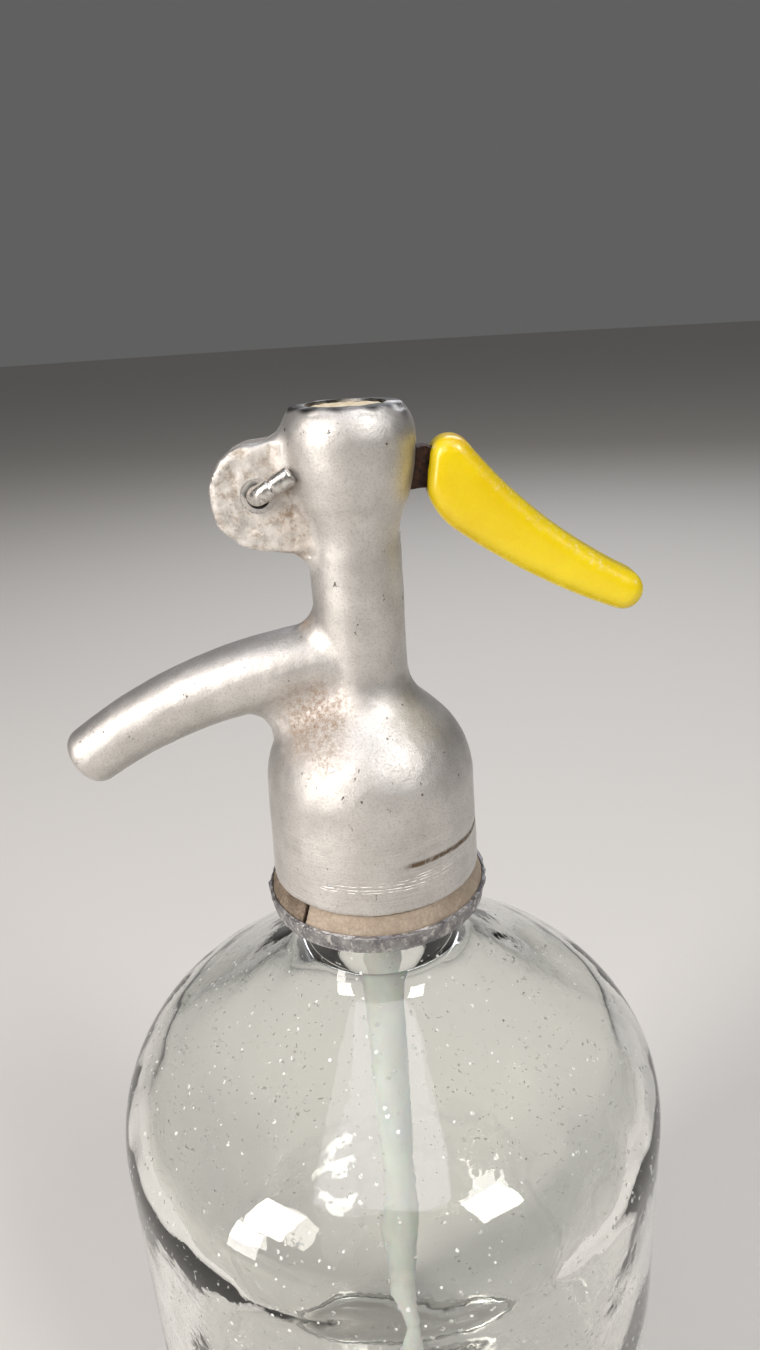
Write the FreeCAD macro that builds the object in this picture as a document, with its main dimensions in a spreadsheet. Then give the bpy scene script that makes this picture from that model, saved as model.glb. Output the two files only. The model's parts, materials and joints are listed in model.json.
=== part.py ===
import FreeCAD, Part
import math
import os
import re

import Sketcher
from FreeCAD import Placement, Rotation, Vector

# Refillable soda siphon: a thick glass bottle, a cast head with its spout, a spring-closed
# valve and a thumb lever.  Frame: the origin is the centre of the bottle's foot on the table,
# +Z is up, the spout points to -X and the lever's grip to +X.  Millimetres and degrees.

doc = FreeCAD.newDocument("SodaSiphon")

# ---------------------------------------------------------------- driving sizes
SIZES = {
    # glass bottle
    "rim_level": (230.0, "neck ring's upper rim above the table"),
    "bottle_radius": (53.5, "outside of the bottle"),
    "bottle_wall": (5.0, "glass wall of body and shoulder"),
    "heel_round": (9.0, "round between side and foot"),
    "foot_width": (4.0, "flat standing ring"),
    "punt_height": (7.0, "hollow under the base"),
    "base_thickness": (9.0, "glass over the hollow"),
    "floor_round": (8.0, "round between inner floor and wall"),
    "shoulder_round": (21.2, "round between side and cone"),
    "shoulder_slope": (33.0, "cone of the shoulder, from level"),
    "shoulder_drop": (13.7, "rim down to where the cone meets the neck's line"),
    "neck_radius": (14.5, "neck and lip"),
    "neck_fillet": (9.0, "hollow curve between cone and neck"),
    "mouth_radius": (8.5, "bore of the neck"),
    "groove_radius": (12.0, "waist under the lip"),
    "groove_drop": (3.0, "rim down to the foot of the waist"),
    "lip_rise": (6.0, "rim up to the lip's underside"),
    "lip_height": (6.5, "lip"),
    "lip_round": (1.0, "round on the lip's edges"),
    # neck joint
    "ring_reach": (1.65, "neck ring's rim outside the skirt"),
    "ring_taper": (0.65, "how much narrower the ring's foot is"),
    "ring_depth": (3.6, "neck ring"),
    "ring_floor": (1.2, "floor of the ring's cup"),
    "ring_wall": (0.85, "side of the ring's cup at the rim"),
    "lip_pass": (0.5, "room for the lip to pass through the ring"),
    "collar_gap": (0.1, "free space round the collar's flange"),
    "collar_bevel": (1.5, "how far the collar's cone leans in"),
    "collar_flat": (2.3, "upright edge of the collar's flange"),
    "collar_rise": (8.0, "collar's sleeve above the skirt's foot"),
    "collar_wall": (1.3, "collar's sleeve"),
    "waist_room": (0.2, "collar's bore outside the glass waist"),
    "collar_split": (2.0, "degrees open between the collar's halves"),
    "collar_turn": (-42.0, "where the right half's middle points, from +X"),
    "thread_room": (0.2, "plain clearance that stands for a coarse thread"),
    "gasket_thickness": (2.5, "rubber between lip and head"),
    "gasket_inset": (0.5, "gasket's bore outside the mouth"),
    # head casting, levels counted up from its seat on the gasket
    "skirt_depth": (11.9, "skirt below the seat"),
    "skirt_wall": (2.6, "skirt at its foot"),
    "skirt_taper": (0.5, "how much narrower the skirt is where the dome begins"),
    "dome_rise": (5.8, "seat up to the dome"),
    "dome_round": (15.5, "dome"),
    "dome_slope": (46.0, "steepest lean of the dome's surface normal"),
    "dome_fillet": (9.3, "hollow curve between dome and stem"),
    "stem_radius": (7.65, "upright stem"),
    "barrel_root_rise": (46.5, "seat up to the barrel's first swell"),
    "waist_swell": (1.65, "barrel's waist outside the stem"),
    "barrel_waist_rise": (54.5, "seat up to the barrel's waist"),
    "barrel_reach": (3.05, "barrel's widest level outside the stem"),
    "barrel_belly_rise": (63.0, "seat up to the widest level"),
    "rim_set_in": (2.1, "barrel's top rim inside its widest level"),
    "barrel_rim_rise": (69.5, "seat up to the top rim"),
    "barrel_swell": (14.0, "bend radius under the waist"),
    "barrel_side": (28.0, "bend radius of the side"),
    "barrel_crown": (8.0, "bend radius up to the rim"),
    "barrel_wall": (1.05, "wall at the foot of the lever room"),
    "barrel_floor_rise": (49.0, "seat up to the lever room's floor"),
    # spout
    "spout_rise": (27.8, "seat up to the spout's root centre"),
    "spout_bend": (84.0, "centre line's bend"),
    "spout_turn": (32.0, "degrees that the spout turns down"),
    "spout_straight": (7.0, "straight run at the tip"),
    "spout_root_radius": (7.0, "spout at the stem's axis"),
    "spout_tip_radius": (5.25, "spout at its end"),
    "spout_channel": (2.75, "water way"),
    "spout_edge": (0.8, "round of the spout's end"),
    "outlet_radius": (3.2, "outlet bore"),
    "outlet_length": (6.5, "outlet bore"),
    # valve column inside the head
    "chamber_radius": (6.0, "valve chamber"),
    "chamber_rise": (20.5, "seat up to the chamber's roof"),
    "channel_radius": (3.5, "water way round the valve stem"),
    "packing_rise": (33.0, "seat up to the packing"),
    "packing_height": (4.0, "packing"),
    "stem_wall": (2.45, "stem's wall round packing, gland nut and spring"),
    "gland_height": (4.0, "gland nut"),
    "driver_slot": (1.0, "width and depth of the gland nut's slot"),
    "fit_room": (0.1, "clearance of screwed or dropped-in pieces"),
    "running_room": (0.05, "clearance of sliding and turning fits"),
    "seat_height": (2.5, "valve seat"),
    "seat_hole": (2.6, "valve seat's port"),
    "rod_radius": (1.6, "valve stem"),
    "flange_radius": (2.3, "valve stem's shoulder above the washer"),
    "flange_height": (1.2, "valve stem's shoulder"),
    "washer_radius": (4.4, "rubber washer"),
    "washer_height": (2.2, "rubber washer"),
    "disc_radius": (4.8, "backing disc"),
    "disc_height": (1.0, "backing disc"),
    "nut_flats": (5.0, "valve nut across its flats"),
    "nut_height": (2.0, "valve nut"),
    "rod_tail": (0.4, "stem below the valve nut"),
    "plate_room": (0.6, "space round the plate on top of the spring"),
    "spring_plate_height": (1.2, "plate on top of the spring"),
    "cap_radius": (3.0, "stem's cap under the lever"),
    "cap_height": (2.9, "stem's cap"),
    "cap_dome": (0.6, "height of the cap's dome"),
    "cap_floor": (1.3, "metal over the stem's end in the cap"),
    "rod_top_radius": (1.3, "threaded top of the valve stem"),
    "cap_gap": (0.2, "cap below the lever at rest"),
    "spring_room": (0.7, "space round the spring"),
    "wire_radius": (0.5, "spring wire"),
    "spring_turns": (4.5, "coils"),
    # dip tube and its nipple
    "nipple_height": (8.0, "screwed part of the nipple"),
    "nipple_lip": (1.6, "nipple's flange outside the chamber"),
    "nipple_flange": (1.6, "nipple's flange"),
    "seal_thickness": (0.6, "fibre washer over the flange"),
    "socket_wall": (1.6, "nipple's socket"),
    "socket_depth": (10.0, "tube held in the socket"),
    "tube_radius": (3.75, "dip tube, outside"),
    "tube_bore": (2.3, "dip tube, inside"),
    "tube_clearance": (5.0, "tube's end above the glass floor"),
    "tube_slant": (4.0, "how far the slanted end is cut up"),
    # top plug
    "rim_wall": (1.2, "metal left round the plug at the top rim"),
    "plug_rise": (65.0, "seat up to the plug's ledge"),
    "plug_height": (3.4, "plug"),
    # lever, pin and ears
    "pivot_reach": (14.45, "stem's axis out to the pin"),
    "pivot_rise": (56.85, "seat up to the pin"),
    "cheek": (2.1, "each cheek of the ear"),
    "ear_radius": (7.7, "round end of the ear, from the pin"),
    "ear_top": (9.0, "ear's upper root above the pin"),
    "ear_heel_reach": (0.8, "ear's lower corner inside the pin"),
    "ear_heel": (9.1, "ear's lower corner below the pin"),
    "ear_foot": (10.6, "ear's lower root below the pin"),
    "lever_side_gap": (0.3, "space each side of the lever"),
    "pin_radius": (1.25, "pivot pin"),
    "pin_recess_radius": (2.6, "sunk ring round the pin"),
    "pin_recess_depth": (0.6, "sunk ring round the pin"),
    "pin_bend": (1.9, "pin's bend"),
    "pin_tail": (4.5, "straight bent-over end"),
    "tail_gap": (1.4, "bent-over end off the cheek"),
    "pin_lean": (29.5, "how far the bent end rises"),
    "pin_head_radius": (2.1, "pin's far head"),
    "pin_head_height": (1.0, "pin's far head"),
    "bar_height": (6.6, "lever's steel bar"),
    "bar_thickness": (4.0, "lever's steel bar"),
    "bar_rise": (5.1, "degrees that the bar climbs"),
    "bar_bite": (1.0, "bar's bend inside the grip's face"),
    "tang_length": (19.8, "tang's end beyond the grip's face"),
    "tang_drop": (11.85, "pin down to the tang's end"),
    "tang_half": (2.1, "half height of the tang's end"),
    "slot_below": (1.3, "slot's floor under the pressed bar"),
    "slot_above": (0.6, "slot's roof over the resting bar"),
    "lever_swing": (12.0, "travel of the lever"),
    "grip_gap": (1.0, "barrel to the grip's face"),
    "grip_thickness": (9.4, "moulded grip"),
    "face_low": (-0.9, "foot of the grip's flat face, above the pin"),
    "face_top": (4.75, "upper corner of the grip's face, above the pin"),
    "face_lean": (0.8, "how far the face leans out to its top"),
    "crown_reach": (6.8, "end of the grip's crown, beyond its face"),
    "crown_top": (5.85, "end of the grip's crown, above the pin"),
    "crown_round": (3.6, "bend of the crown"),
    "grip_reach": (33.6, "upper corner of the grip's end, beyond its face"),
    "grip_drop": (16.65, "upper corner of the grip's end, below the pin"),
    "end_set_back": (2.45, "how far the end's lower corner is set back"),
    "end_depth": (6.1, "upper to lower corner of the grip's end"),
    "end_round": (3.33, "bend of the grip's end"),
    "chin_reach": (3.95, "grip's chin beyond its face"),
    "chin_drop": (7.4, "grip's chin below the pin"),
    "chin_round": (13.0, "bend from the grip's face to its chin"),
    "grip_bow": (110.0, "long bend of the grip's lower edge"),
    "grip_hollow": (84.0, "long bend of the grip's upper edge"),
    "grip_round": (2.5, "round of the grip's long edges"),
}

# levels and points that follow from the driving sizes
PLACES = {
    "sleeve_bore": "neck_radius + waist_room",
    "sleeve_radius": "sleeve_bore + collar_wall",
    "skirt_bore": "sleeve_radius + thread_room",
    "skirt_radius": "skirt_bore + skirt_wall",
    "dome_radius": "skirt_radius - skirt_taper",
    "ring_radius": "skirt_radius + ring_reach",
    "ring_foot_radius": "ring_radius - ring_taper",
    "barrel_waist_radius": "stem_radius + waist_swell",
    "barrel_radius": "stem_radius + barrel_reach",
    "barrel_rim_radius": "barrel_radius - rim_set_in",
    "barrel_bore": "stem_radius - barrel_wall",
    "plug_radius": "barrel_rim_radius - rim_wall - fit_room",
    "gland_radius": "stem_radius - stem_wall",
    "spring_radius": "gland_radius - spring_room - wire_radius",
    "spring_plate_radius": "gland_radius - plate_room",
    "nipple_flange_radius": "chamber_radius + nipple_lip",
    "socket_radius": "tube_radius + running_room + socket_wall",
    "slot_width": "bar_thickness + 2 * lever_side_gap",
    "ear_span": "slot_width + 2 * cheek",
    "grip_start": "pivot_reach + barrel_radius + grip_gap",
    "bar_reach": "grip_start + bar_bite",
    "tang_reach": "grip_start + tang_length",
    "shoulder_middle": "bottle_radius - shoulder_round",
    "cone_top": "rim_level - shoulder_drop",
    "cone_foot_radius": "shoulder_middle + shoulder_round * sin(shoulder_slope)",
    "cone_foot": "cone_top - (cone_foot_radius - neck_radius) * tan(shoulder_slope)",
    "side_top": "cone_foot - shoulder_round * cos(shoulder_slope)",
    "fillet_radius": "neck_radius + neck_fillet * (1 - sin(shoulder_slope))",
    "fillet_foot": "cone_top - (fillet_radius - neck_radius) * tan(shoulder_slope)",
    "fillet_top": "fillet_foot + neck_fillet * cos(shoulder_slope)",
    "inner_round": "shoulder_round - bottle_wall",
    "inner_cone_radius": "shoulder_middle + inner_round * sin(shoulder_slope)",
    "inner_cone_foot": "side_top + inner_round * cos(shoulder_slope)",
    "inner_cone_top": "inner_cone_foot + (inner_cone_radius - mouth_radius) * tan(shoulder_slope)",
    "inner_radius": "bottle_radius - bottle_wall",
    "foot_radius": "bottle_radius - heel_round",
    "punt_radius": "foot_radius - foot_width",
    "punt_bend": "(punt_radius ^ 2 + punt_height ^ 2) / (2 * punt_height)",
    "glass_floor": "punt_height + base_thickness",
    "lip_foot": "rim_level + lip_rise",
    "lip_top": "lip_foot + lip_height",
    "head_seat": "lip_top + gasket_thickness",
    "ring_foot": "rim_level - ring_depth",
    "cup_floor": "ring_foot + ring_floor",
    "cup_radius": "ring_radius - ring_wall",
    "flange_edge": "cup_radius - collar_gap",
    "skirt_foot": "head_seat - skirt_depth",
    "dome_foot": "head_seat + dome_rise",
    "dome_middle": "dome_radius - dome_round",
    "dome_edge_radius": "dome_middle + dome_round * cos(dome_slope)",
    "dome_edge": "dome_foot + dome_round * sin(dome_slope)",
    "hollow_radius": "stem_radius + dome_fillet * (1 - cos(dome_slope))",
    "hollow_foot": "dome_edge + (dome_edge_radius - hollow_radius) / tan(dome_slope)",
    "hollow_top": "hollow_foot + dome_fillet * sin(dome_slope)",
    "barrel_root": "head_seat + barrel_root_rise",
    "barrel_waist": "head_seat + barrel_waist_rise",
    "barrel_belly": "head_seat + barrel_belly_rise",
    "barrel_rim": "head_seat + barrel_rim_rise",
    "barrel_floor": "head_seat + barrel_floor_rise",
    "plug_foot": "head_seat + plug_rise",
    "spout_level": "head_seat + spout_rise",
    "bend_end_x": "-spout_bend * sin(spout_turn)",
    "bend_end_z": "spout_level - spout_bend * (1 - cos(spout_turn))",
    "tip_x": "bend_end_x - spout_straight * cos(spout_turn)",
    "tip_z": "bend_end_z - spout_straight * sin(spout_turn)",
    "chamber_roof": "head_seat + chamber_rise",
    "seat_face": "chamber_roof - seat_height",
    "packing_foot": "head_seat + packing_rise",
    "gland_foot": "packing_foot + packing_height",
    "gland_top": "gland_foot + gland_height",
    "washer_foot": "seat_face - washer_height",
    "disc_foot": "washer_foot - disc_height",
    "nut_foot": "disc_foot - nut_height",
    "rod_foot": "nut_foot - rod_tail",
    "pivot_level": "head_seat + pivot_rise",
    "bar_half": "bar_height / 2",
    "bar_under": "pivot_level + pivot_reach * tan(bar_rise) - bar_half / cos(bar_rise)",
    "cap_top": "bar_under - cap_gap",
    "plate_top": "cap_top - cap_height",
    "plate_foot": "plate_top - spring_plate_height",
    "slot_reach": "pivot_reach + barrel_radius",
    "slot_floor": "pivot_level - slot_reach * tan(lever_swing - bar_rise)"
                  " - bar_half / cos(lever_swing - bar_rise) - slot_below",
    "slot_roof": "pivot_level + slot_reach * tan(bar_rise) + bar_half / cos(bar_rise) + slot_above",
    "window_floor": "pivot_level - bar_half - slot_below",
    "seal_foot": "head_seat - seal_thickness",
    "nipple_foot": "seal_foot - nipple_flange",
    "socket_foot": "nipple_foot - socket_depth",
    "nipple_top": "head_seat + nipple_height",
    "tube_foot": "glass_floor + tube_clearance",
}


def tied(expression):
    """Write each size's and place's name as its spreadsheet cell."""
    def cell(word):
        name = word.group(0)
        if name in SIZES:
            return "Sizes." + name
        if name in PLACES:
            return "Places." + name
        return name
    return re.sub(r"[a-z_]{3,}", cell, str(expression))


sheet = doc.addObject("Spreadsheet::Sheet", "Sizes")
for row, (alias, (number, note)) in enumerate(SIZES.items(), 1):
    sheet.set("A%d" % row, alias)
    sheet.set("B%d" % row, str(number))
    sheet.set("C%d" % row, note)
    sheet.setAlias("B%d" % row, alias)
doc.recompute()

places = doc.addObject("Spreadsheet::Sheet", "Places")
for row, (alias, formula) in enumerate(PLACES.items(), 1):
    places.set("A%d" % row, alias)
    places.setAlias("B%d" % row, alias)
    places.set("B%d" % row, "=" + tied(formula))
doc.recompute()


def value(expression):
    return float(sheet.evalExpression(tied(expression)))


# ---------------------------------------------------------------- drawing helpers
def add_body(label):
    body = doc.addObject("PartDesign::Body", label)
    body.Label = label
    return body


def new_sketch(body, name, role="XZ_Plane"):
    sketch = body.newObject("Sketcher::SketchObject", name)
    plane = [item for item in body.Origin.OriginFeatures if item.Role == role][0]
    sketch.AttachmentSupport = [(plane, "")]
    sketch.MapMode = "FlatFace"
    return sketch


def bind(sketch, constraint, name, expression):
    """Add a dimension to a sketch and tie it to the sheet."""
    index = sketch.addConstraint(constraint)
    sketch.renameConstraint(index, name)
    sketch.setExpression("Constraints." + name, tied(expression))


def pin_down(sketch, geometry, point, name, across, up):
    """Hold one point of a sketch at two distances from the sketch's origin."""
    for kind, distance in (("DistanceX", across), ("DistanceY", up)):
        constraint = Sketcher.Constraint(kind, -1, 1, geometry, point, value(distance))
        bind(sketch, constraint, name + kind[-1], distance)


def draw_side(sketch, here, there, bend):
    """Add one side of an outline; return the point numbers of its start and end.

    bend is None for a straight side, or a radius: positive curves left, negative right.
    """
    if bend is None:
        sketch.addGeometry(Part.LineSegment(here, there))
        return 1, 2
    radius = value(bend)
    chord = there.sub(here)
    reach = math.sqrt(max(radius ** 2 - (chord.Length / 2) ** 2, 0.0))
    left = Vector(-chord.y, chord.x, 0).normalize()
    middle = here.add(there).multiply(0.5).add(left.multiply(math.copysign(reach, radius)))
    first, last = (here, there) if radius > 0 else (there, here)
    start = math.atan2(first.y - middle.y, first.x - middle.x)
    stop = math.atan2(last.y - middle.y, last.x - middle.x)
    circle = Part.Circle(middle, Vector(0, 0, 1), abs(radius))
    sketch.addGeometry(Part.ArcOfCircle(circle, start, stop if stop > start else stop + 2 * math.pi))
    return (1, 2) if radius > 0 else (2, 1)


def outline(body, name, corners, role="XZ_Plane", closed=True):
    """Draw an outline from corners (across, up[, bend of the side that follows])."""
    sketch = new_sketch(body, name, role)
    spots = [Vector(value(corner[0]), value(corner[1]), 0) for corner in corners]
    sides = len(corners) if closed else len(corners) - 1
    ends = []
    for side in range(sides):
        bend = corners[side][2] if len(corners[side]) > 2 else None
        ends.append(draw_side(sketch, spots[side], spots[(side + 1) % len(corners)], bend))
    for side in range(sides if closed else sides - 1):
        after = (side + 1) % sides
        sketch.addConstraint(Sketcher.Constraint("Coincident", side, ends[side][1], after, ends[after][0]))
    for side in range(sides):
        corner = corners[side]
        pin_down(sketch, side, ends[side][0], "corner%d" % side, corner[0], corner[1])
        if len(corner) > 2:
            size = corner[2] if value(corner[2]) > 0 else "-(%s)" % corner[2]
            bind(sketch, Sketcher.Constraint("Radius", side, value(size)), "bend%d" % side, size)
    if not closed:
        pin_down(sketch, sides - 1, ends[-1][1], "corner%d" % sides, corners[-1][0], corners[-1][1])
    return sketch


def ring(body, name, radius, across="0", up="0", role="XZ_Plane"):
    """Draw one circle."""
    sketch = new_sketch(body, name, role)
    middle = Vector(value(across), value(up), 0)
    sketch.addGeometry(Part.Circle(middle, Vector(0, 0, 1), value(radius)))
    bind(sketch, Sketcher.Constraint("Radius", 0, value(radius)), "radius", radius)
    pin_down(sketch, 0, 3, "middle", across, up)
    return sketch


def revolve(body, kind, name, sketch, angle="360"):
    feature = body.newObject("PartDesign::" + kind, name)
    feature.Profile = sketch
    feature.ReferenceAxis = (sketch, ["V_Axis"])
    feature.setExpression("Angle", tied(angle))
    return feature


def extrude(body, kind, name, sketch, length, symmetric=True, turned_round=False):
    feature = body.newObject("PartDesign::" + kind, name)
    feature.Profile = sketch
    feature.SideType = "Symmetric" if symmetric else "One side"
    feature.Reversed = turned_round
    feature.setExpression("Length", tied(length))
    return feature


def turned(label, corners):
    """A piece turned about the upright axis."""
    body = add_body(label)
    revolve(body, "Revolution", label + "_turning", outline(body, label + "_profile", corners))
    return body


def tube_corners(inner, outer, foot, top):
    return [(inner, foot), (outer, foot), (outer, top), (inner, top)]


def round_the_stem(outer, foot, top):
    return tube_corners("rod_radius + running_room", outer, foot, top)


def round_edges(body, name, chosen, radius):
    """Fillet the edges of a body's last shape that the test chooses."""
    doc.recompute()
    base = body.Tip
    names = ["Edge%d" % number for number, edge in enumerate(base.Shape.Edges, 1)
             if not edge.Degenerated and chosen(edge)]
    feature = body.newObject("PartDesign::Fillet", name)
    feature.Base = (base, names)
    feature.setExpression("Radius", tied(radius))
    return feature


def circle_at(edge, radius, level):
    curve = edge.Curve
    return (isinstance(curve, Part.Circle) and abs(curve.Radius - value(radius)) < 0.01
            and abs(curve.Center.z - value(level)) < 0.01)


# ---------------------------------------------------------------- bottle and neck joint
def make_bottle():
    body = turned("bottle", [
        ("0", "punt_height", "-punt_bend"),
        ("punt_radius", "0"),
        ("foot_radius", "0", "heel_round"),
        ("bottle_radius", "heel_round"),
        ("bottle_radius", "side_top", "shoulder_round"),
        ("cone_foot_radius", "cone_foot"),
        ("fillet_radius", "fillet_foot", "-neck_fillet"),
        ("neck_radius", "fillet_top"),
        ("neck_radius", "rim_level - groove_drop"),
        ("groove_radius", "rim_level - groove_drop"),
        ("groove_radius", "lip_foot"),
        ("neck_radius", "lip_foot"),
        ("neck_radius", "lip_top"),
        ("mouth_radius", "lip_top"),
        ("mouth_radius", "inner_cone_top"),
        ("inner_cone_radius", "inner_cone_foot", "-inner_round"),
        ("inner_radius", "side_top"),
        ("inner_radius", "glass_floor + floor_round", "-floor_round"),
        ("inner_radius - floor_round", "glass_floor"),
        ("0", "glass_floor"),
    ])
    round_edges(body, "lip_edges", lambda edge: circle_at(edge, "neck_radius", "lip_top"), "lip_round")


def make_neck_ring():
    turned("neck_ring", [
        ("neck_radius + lip_pass", "ring_foot"),
        ("ring_foot_radius", "ring_foot"),
        ("ring_radius", "rim_level"),
        ("cup_radius", "rim_level"),
        ("cup_radius", "cup_floor"),
        ("neck_radius + lip_pass", "cup_floor"),
    ])


def make_collar_half(label, turn):
    """Half of the split collar: a flange in the ring's cup, a hook under the lip, a sleeve in the skirt."""
    body = add_body(label)
    sketch = outline(body, label + "_profile", [
        ("groove_radius + waist_room", "cup_floor"),
        ("flange_edge", "cup_floor"),
        ("flange_edge", "cup_floor + collar_flat"),
        ("flange_edge - collar_bevel", "skirt_foot - collar_gap"),
        ("sleeve_radius", "skirt_foot - collar_gap"),
        ("sleeve_radius", "skirt_foot + collar_rise"),
        ("sleeve_bore", "skirt_foot + collar_rise"),
        ("sleeve_bore", "lip_foot"),
        ("groove_radius + waist_room", "lip_foot"),
    ])
    half = revolve(body, "Revolution", label + "_turning", sketch, "180 - collar_split")
    half.Midplane = True
    body.Placement = Placement(Vector(0, 0, 0), Rotation(Vector(0, 0, 1), value(turn)))
    body.setExpression("Placement.Rotation.Angle", tied(turn))


def make_gasket():
    turned("neck_gasket", tube_corners("mouth_radius + gasket_inset", "neck_radius", "lip_top", "head_seat"))


# ---------------------------------------------------------------- head casting
def spout_path(body, name):
    """Centre line of the spout: one bend down to a straight tip."""
    return outline(body, name, [
        ("0", "spout_level", "spout_bend"),
        ("bend_end_x", "bend_end_z"),
        ("tip_x", "tip_z"),
    ], closed=False)


def tip_ring(body, name, radius):
    """A circle square across the spout's end; its normal points back into the spout."""
    sketch = ring(body, name, radius, role="YZ_Plane")
    sketch.AttachmentOffset = Placement(Vector(0, value("tip_z"), value("tip_x")),
                                        Rotation(Vector(-1, 0, 0), value("spout_turn")))
    sketch.setExpression("AttachmentOffset.Base.y", tied("tip_z"))
    sketch.setExpression("AttachmentOffset.Base.z", tied("tip_x"))
    sketch.setExpression("AttachmentOffset.Rotation.Angle", tied("spout_turn"))
    return sketch


def make_head():
    body = add_body("head_casting")
    shell = outline(body, "shell_profile", [
        ("0", "skirt_foot"),
        ("skirt_radius", "skirt_foot"),
        ("dome_radius", "dome_foot", "dome_round"),
        ("dome_edge_radius", "dome_edge"),
        ("hollow_radius", "hollow_foot", "-dome_fillet"),
        ("stem_radius", "hollow_top"),
        ("stem_radius", "barrel_root", "-barrel_swell"),
        ("barrel_waist_radius", "barrel_waist", "barrel_side"),
        ("barrel_radius", "barrel_belly", "barrel_crown"),
        ("barrel_rim_radius", "barrel_rim"),
        ("0", "barrel_rim"),
    ])
    revolve(body, "Revolution", "shell", shell)

    # ear: two cheeks that carry the pin
    ear = outline(body, "ear_outline", [
        ("-stem_radius / 2", "pivot_level + ear_top"),
        ("-pivot_reach", "pivot_level + ear_radius", "ear_radius"),
        ("-pivot_reach - ear_radius", "pivot_level", "ear_radius + ear_heel_reach"),
        ("-pivot_reach - ear_heel_reach", "pivot_level - ear_heel"),
        ("-stem_radius / 2", "pivot_level - ear_foot"),
    ])
    extrude(body, "Pad", "ear", ear, "ear_span")

    # spout, tapering to its tip
    pipe = body.newObject("PartDesign::AdditivePipe", "spout")
    pipe.Profile = ring(body, "spout_root", "spout_root_radius", up="spout_level", role="YZ_Plane")
    pipe.Spine = (spout_path(body, "spout_line"), [])
    pipe.Sections = [tip_ring(body, "spout_end", "spout_tip_radius")]
    pipe.Transformation = "Multisection"
    doc.recompute()

    # turned cavity, from the skirt up to the plug's recess
    below = "skirt_foot - 1"
    above = "barrel_rim + 1"
    cavity = outline(body, "cavity_profile", [
        ("0", below),
        ("skirt_bore", below),
        ("skirt_bore", "head_seat"),
        ("chamber_radius", "head_seat"),
        ("chamber_radius", "chamber_roof"),
        ("channel_radius", "chamber_roof"),
        ("channel_radius", "packing_foot"),
        ("gland_radius", "packing_foot"),
        ("gland_radius", "barrel_floor"),
        ("barrel_bore", "barrel_floor"),
        ("barrel_bore", "plug_foot"),
        ("plug_radius + fit_room", "plug_foot"),
        ("plug_radius + fit_room", above),
        ("0", above),
    ])
    revolve(body, "Groove", "cavity", cavity)

    # water way and outlet bore of the spout
    way = body.newObject("PartDesign::SubtractivePipe", "water_way")
    way.Profile = ring(body, "way_root", "spout_channel", up="spout_level", role="YZ_Plane")
    way.Spine = (spout_path(body, "way_line"), [])
    outlet = tip_ring(body, "outlet_ring", "outlet_radius")
    extrude(body, "Pocket", "outlet", outlet, "outlet_length", symmetric=False, turned_round=True)

    # gap between the cheeks, window into the barrel and slot out of its far side
    slot = outline(body, "slot_outline", [
        ("-pivot_reach - 2 * ear_radius", "pivot_level - 2 * ear_heel"),
        ("-barrel_radius", "pivot_level - 2 * ear_heel"),
        ("-barrel_radius", "window_floor"),
        ("0", "window_floor"),
        ("0", "slot_floor"),
        ("barrel_radius + 2", "slot_floor"),
        ("barrel_radius + 2", "slot_roof"),
        ("-barrel_radius", "slot_roof"),
        ("-barrel_radius", "pivot_level + 2 * ear_radius"),
        ("-pivot_reach - 2 * ear_radius", "pivot_level + 2 * ear_radius"),
    ])
    extrude(body, "Pocket", "lever_slot", slot, "slot_width")

    hole = ring(body, "pin_hole_ring", "pin_radius + running_room", "-pivot_reach", "pivot_level")
    extrude(body, "Pocket", "pin_hole", hole, "ear_span + 2")
    recess = ring(body, "pin_recess_ring", "pin_recess_radius", "-pivot_reach", "pivot_level")
    recess.AttachmentOffset = Placement(Vector(0, 0, value("ear_span / 2")), Rotation())
    recess.setExpression("AttachmentOffset.Base.z", tied("ear_span / 2"))
    extrude(body, "Pocket", "pin_recess", recess, "pin_recess_depth", symmetric=False)

    def spout_end_edge(edge):
        tip = Vector(value("tip_x"), 0, value("tip_z"))
        reaches = [tip.distanceToPoint(point) for point in edge.discretize(8)]
        return max(abs(reach - value("spout_tip_radius")) for reach in reaches) < 0.05
    round_edges(body, "spout_end_round", spout_end_edge, "spout_edge")


def make_top_plug():
    turned("top_plug", [
        ("0", "plug_foot"),
        ("plug_radius", "plug_foot"),
        ("plug_radius", "plug_foot + plug_height"),
        ("0", "plug_foot + plug_height"),
    ])


# ---------------------------------------------------------------- fixed valve pieces
def make_valve_seat():
    turned("valve_seat", tube_corners("seat_hole", "chamber_radius - fit_room", "seat_face", "chamber_roof"))


def make_packing():
    turned("stem_packing", round_the_stem("gland_radius - fit_room", "packing_foot", "gland_foot"))


def make_gland_nut():
    body = turned("gland_nut", round_the_stem("gland_radius - fit_room", "gland_foot", "gland_top"))
    slot = outline(body, "driver_slot_outline", [
        ("-driver_slot / 2", "gland_top - driver_slot"),
        ("driver_slot / 2", "gland_top - driver_slot"),
        ("driver_slot / 2", "gland_top + 1"),
        ("-driver_slot / 2", "gland_top + 1"),
    ])
    extrude(body, "Pocket", "driver_slot_cut", slot, "2 * gland_radius + 1")


def make_spring():
    """Compression spring between the gland nut and the plate on the stem."""
    body = add_body("return_spring")
    wire = ring(body, "wire_ring", "wire_radius", "spring_radius", "gland_top + wire_radius")
    coil = body.newObject("PartDesign::AdditiveHelix", "coil")
    coil.Profile = wire
    coil.ReferenceAxis = (wire, ["V_Axis"])
    coil.Mode = "height-turns-angle"
    coil.setExpression("Height", tied("plate_foot - gland_top - 2 * wire_radius"))
    coil.setExpression("Turns", tied("spring_turns"))


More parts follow.
